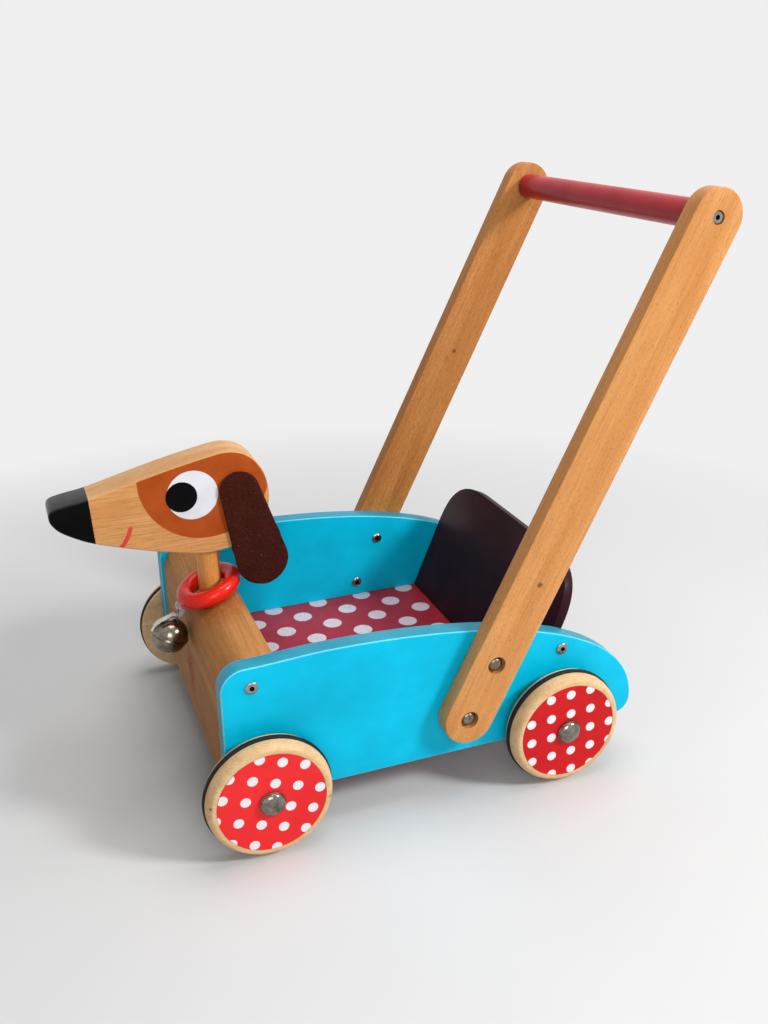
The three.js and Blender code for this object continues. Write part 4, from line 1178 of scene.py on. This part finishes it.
def make_head():
    nose_x = NECK_X - HEAD_REACH
    points = [(nose_x + a * HEAD_LENGTH, HEAD_BOTTOM + b * HEAD_HEIGHT) for a, b in HEAD_SHARES]
    head = slab("head_painted", smooth_closed(points, 6), -HEAD_HALF, HEAD_HALF, HEAD_BEVEL, 4)
    bore = rod_profile(NECK_R + GAP, HEAD_BOTTOM - OVER, HEAD_BOTTOM + NECK_GRIP + GAP)
    cut_out(head, [lathe("drill", bore, (NECK_X, 0), upright=True)])
    dress(head, "cart", ["head_side", "head_edge"], "head_block")
    sort_faces(head, lambda normal, _: int(abs(normal.y) < 0.97))


def make_neck():
    profile = rod_profile(NECK_R, BLOCK_TOP - NECK_GRIP, HEAD_BOTTOM + NECK_GRIP, NECK_CHAMFER)
    neck = lathe("neck_turned", profile, (NECK_X, 0), upright=True)
    dress(neck, "cart", "neck", "neck_dowel")


make_head()
make_neck()


# Ears
EAR_TOP = Vector((20.5, 0, 234.0))
EAR_REACH, EAR_TOP_R, EAR_LOW_R = 61.8, 15.5, 21.0
EAR_LENGTH = EAR_REACH + EAR_TOP_R + EAR_LOW_R
EAR_LEANS = {"left": math.radians(14), "right": math.radians(17.5)}
EAR_THICK, EAR_INNER = 2.2, 16.0
EAR_ROWS, EAR_COLUMNS = 56, 28


def ear_half_width(t):
    """Half the ear's width at a distance t below its top circle's centre."""
    taper = (EAR_LOW_R - EAR_TOP_R) / EAR_REACH
    if t < -EAR_TOP_R * taper:
        return math.sqrt(max(EAR_TOP_R ** 2 - t * t, 0))
    if t > EAR_REACH - EAR_LOW_R * taper:
        return math.sqrt(max(EAR_LOW_R ** 2 - (t - EAR_REACH) ** 2, 0))
    return (EAR_TOP_R + t * taper) / math.sqrt(1 - taper * taper)


def ear_mesh(name, sign, lean):
    """A felt flap with cut, slightly rounded edges and a gentle wave."""
    bm = bmesh.new()
    down = Vector((math.sin(lean), 0, -math.cos(lean)))
    across = Vector((math.cos(lean), 0, math.sin(lean)))
    sheets = {-1: [], 1: []}
    for i in range(EAR_ROWS + 1):
        t = -EAR_TOP_R + EAR_LENGTH * (0.5 - 0.5 * math.cos(math.pi * i / EAR_ROWS))
        half = ear_half_width(t)
        for face, rows in sheets.items():
            row = []
            for k in range(EAR_COLUMNS + 1):
                u = -math.cos(math.pi * k / EAR_COLUMNS)
                rim = min(1, 2.2 * (1 - abs(u))) if 0 < i < EAR_ROWS else 0
                edge = math.sqrt(1 - (1 - rim) ** 2)
                fall = min(1, (t + EAR_TOP_R) / 14)
                wave = fall * (0.35 * math.sin(t / 13 + 0.8) + 0.25 * math.sin(u * 2.6 + t / 25))
                y = EAR_INNER + wave + (1 + face * edge) * EAR_THICK / 2
                p = EAR_TOP + down * t + across * (u * half)
                row.append(bm.verts.new((p.x, sign * y, p.z)))
            rows.append(row)
    for rows in sheets.values():
        skin(bm, rows, around=False)
    bmesh.ops.remove_doubles(bm, verts=bm.verts[:], dist=0.02)
    return object_from(name, bm, 60)


for side, sign in SIDES.items():
    ear = ear_mesh(f"ear_{side}_felt", sign, EAR_LEANS[side])
    dress(ear, None, "felt", f"ear_{side}")
    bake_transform(ear)


# Collar ring
tilt = Matrix.Rotation(-RING_TILT, 4, "Y")
ring = torus(
    "ring_lacquered", RING_R, RING_TUBE, 96, 32, lambda p: tilt @ p + Vector((RING_X, 0, RING_Z))
)
dress(ring, "collar", "ring", "collar_ring")


# Bell
SEAM_REACH, SEAM_START = 0.7, 1.2
SLOT_HALF, SLOT_TOP_SHARE = 1.3, 0.42
CLAPPER_R = 3.5
HUNG = Matrix.Translation(BELL) @ Matrix.Rotation(BELL_TILT, 4, "Y")


def shell_profile(up):
    """Half the bell's section about its own middle, above or below it: a pressed cup with a rolled seam."""
    def quarter(radius):
        return arc_points(0, 0, radius, math.asin(SEAM_START / radius), math.pi / 2, 16, up * radius)

    inner, flange = BELL_R - BELL_WALL, BELL_R + SEAM_REACH
    rim = [(inner, 0.15), (flange - 0.15, 0.15), (flange, 0.3), (flange - 0.1, 0.55), (BELL_R + 0.2, 0.65)]
    rim = [(r, up * z) for r, z in rim]
    return rim + quarter(BELL_R) + quarter(inner)[::-1] + rim[:1]


def hang(name, profile):
    """A turned form about the bell's own upright middle line, tilted as the bell hangs."""
    made = lathe(name, profile, upright=True, segments=72)
    origin = at(0, 0, 0)
    scale = Matrix.Scale(MM, 4)
    to_row = Matrix.Translation(origin) @ scale @ HUNG @ scale.inverted() @ Matrix.Translation(-origin)
    made.data.transform(to_row)
    return made


def make_bell():
    eye = torus(
        "bell_loop", EYE_R, EYE_WIRE, 40, 14,
        lambda p: HUNG @ (Matrix.Rotation(math.pi / 2, 4, "Y") @ p + Vector((0, 0, EYE_RISE))),
    )
    upper = merged("bell_cup_upper", [hang("cup", shell_profile(1)), eye])
    dress(upper, "bell", "bell", "bell_upper_shell")
    lower = hang("bell_cup_lower", shell_profile(-1))
    slots = []
    reach = BELL_R + OVER
    for x, y in ((reach, SLOT_HALF), (SLOT_HALF, reach)):
        slot = box_mesh("slot", (-x, -y, -reach), (x, y, -SLOT_TOP_SHARE * BELL_R), 0)
        slot.data.transform(Matrix.Translation(-at(0, 0, 0)))
        slot.data.transform(Matrix.Translation(at(*BELL)) @ Matrix.Rotation(BELL_TILT, 4, "Y"))
        slots.append(slot)
    cut_out(lower, slots)
    dress(lower, "bell", "bell", "bell_lower_shell")


def make_clapper():
    middle = BELL.z - BELL_R + BELL_WALL + CLAPPER_R + 2 * GAP
    ball = arc_points(0, middle, CLAPPER_R, -math.pi / 2, math.pi / 2, 18)
    clapper = lathe("clapper_ball", ball, (BELL.x, BELL.y), upright=True, segments=32)
    dress(clapper, "clapper", "steel", "bell_clapper")


make_bell()
make_clapper()


# Studio
PAPER = (0.87, 0.87, 0.868, 1)
FLOOR_GREYS = ((0.66, 0.66, 0.66, 1), (0.645, 0.645, 0.645, 1))
ROOM_GREYS = ((0.07, 0.07, 0.075, 1), (0.66, 0.66, 0.66, 1))
PAPER_FROM, PAPER_TO, GROUND_R = 380, 860, 9000
AIM = Vector((0, 0, 0.15))
# Each lamp's place and size in metres, and its power in watts
LAMPS = {
    "key": ((1.2, -1.1, 1.15), 0.35, 25),
    "top": ((0.25, 0.1, 1.7), 1.1, 14),
    "fill": ((-0.35, -1.65, 0.95), 0.8, 9.5),
}


def ground_material():
    """Pale floor that takes the shadow near the cart and turns into plain paper further out."""
    s = Material("studio_floor")
    s.set(
        Base_Color=s.layer(*FLOOR_GREYS, s.cloud(0.002, 3), 0.35, 0.7),
        Roughness=0.9,
        Specular_IOR_Level=0.05,
    )
    away = s.vector("LENGTH", s.only(s.vector("SUBTRACT", s.mm, (MIDDLE, 0, 0)), x=1, y=1))
    share = s.times(s.step(away, PAPER_FROM, PAPER_TO), s.background_rays())
    paper = s.node("Emission", 0, {"Color": PAPER})
    s.feed(s.out, s.node("MixShader", 0, {0: share, 1: s.surface.outputs[0], 2: paper}))
    return s.material


def make_world():
    """A room that is darker below and on the left, behind a background of plain paper."""
    world = bpy.data.worlds.new("studio")
    world.use_nodes = True
    bpy.context.scene.world = world
    s = Nodes(world.node_tree)
    way = s.node("TexCoord", "Generated", {})
    grey = s.layer(*ROOM_GREYS, s.along(way, z=1), 0, 0.9)
    strength = s.step(s.along(way, x=1), -0.8, 0.3, 0.25, 0.85)
    room = s.node("Background", 0, {"Color": grey, "Strength": strength})
    paper = s.node("Background", 0, {"Color": PAPER})
    seen = s.node("MixShader", 0, {0: s.background_rays(), 1: room, 2: paper})
    s.feed(s.tree.nodes.new("ShaderNodeOutputWorld").inputs[0], seen)


def make_lamp(name, place, size, power):
    """A square soft light aimed at the cart."""
    data = bpy.data.lights.new(name, "AREA")
    data.shape = "SQUARE"
    data.size = size
    data.energy = power
    lamp = placed(name, data)
    lamp.location = place
    lamp.rotation_euler = (AIM - Vector(place)).to_track_quat("-Z", "Y").to_euler()


def make_ground():
    bm = bmesh.new()
    bmesh.ops.create_circle(bm, cap_ends=True, segments=96, radius=GROUND_R)
    ground = object_from("studio_ground", bm)
    ground.location.z = -0.0003
    ground.data.materials.append(ground_material())


make_ground()
make_world()
for name, settings in LAMPS.items():
    make_lamp(name, *settings)
bpy.context.scene.view_settings.view_transform = "Standard"
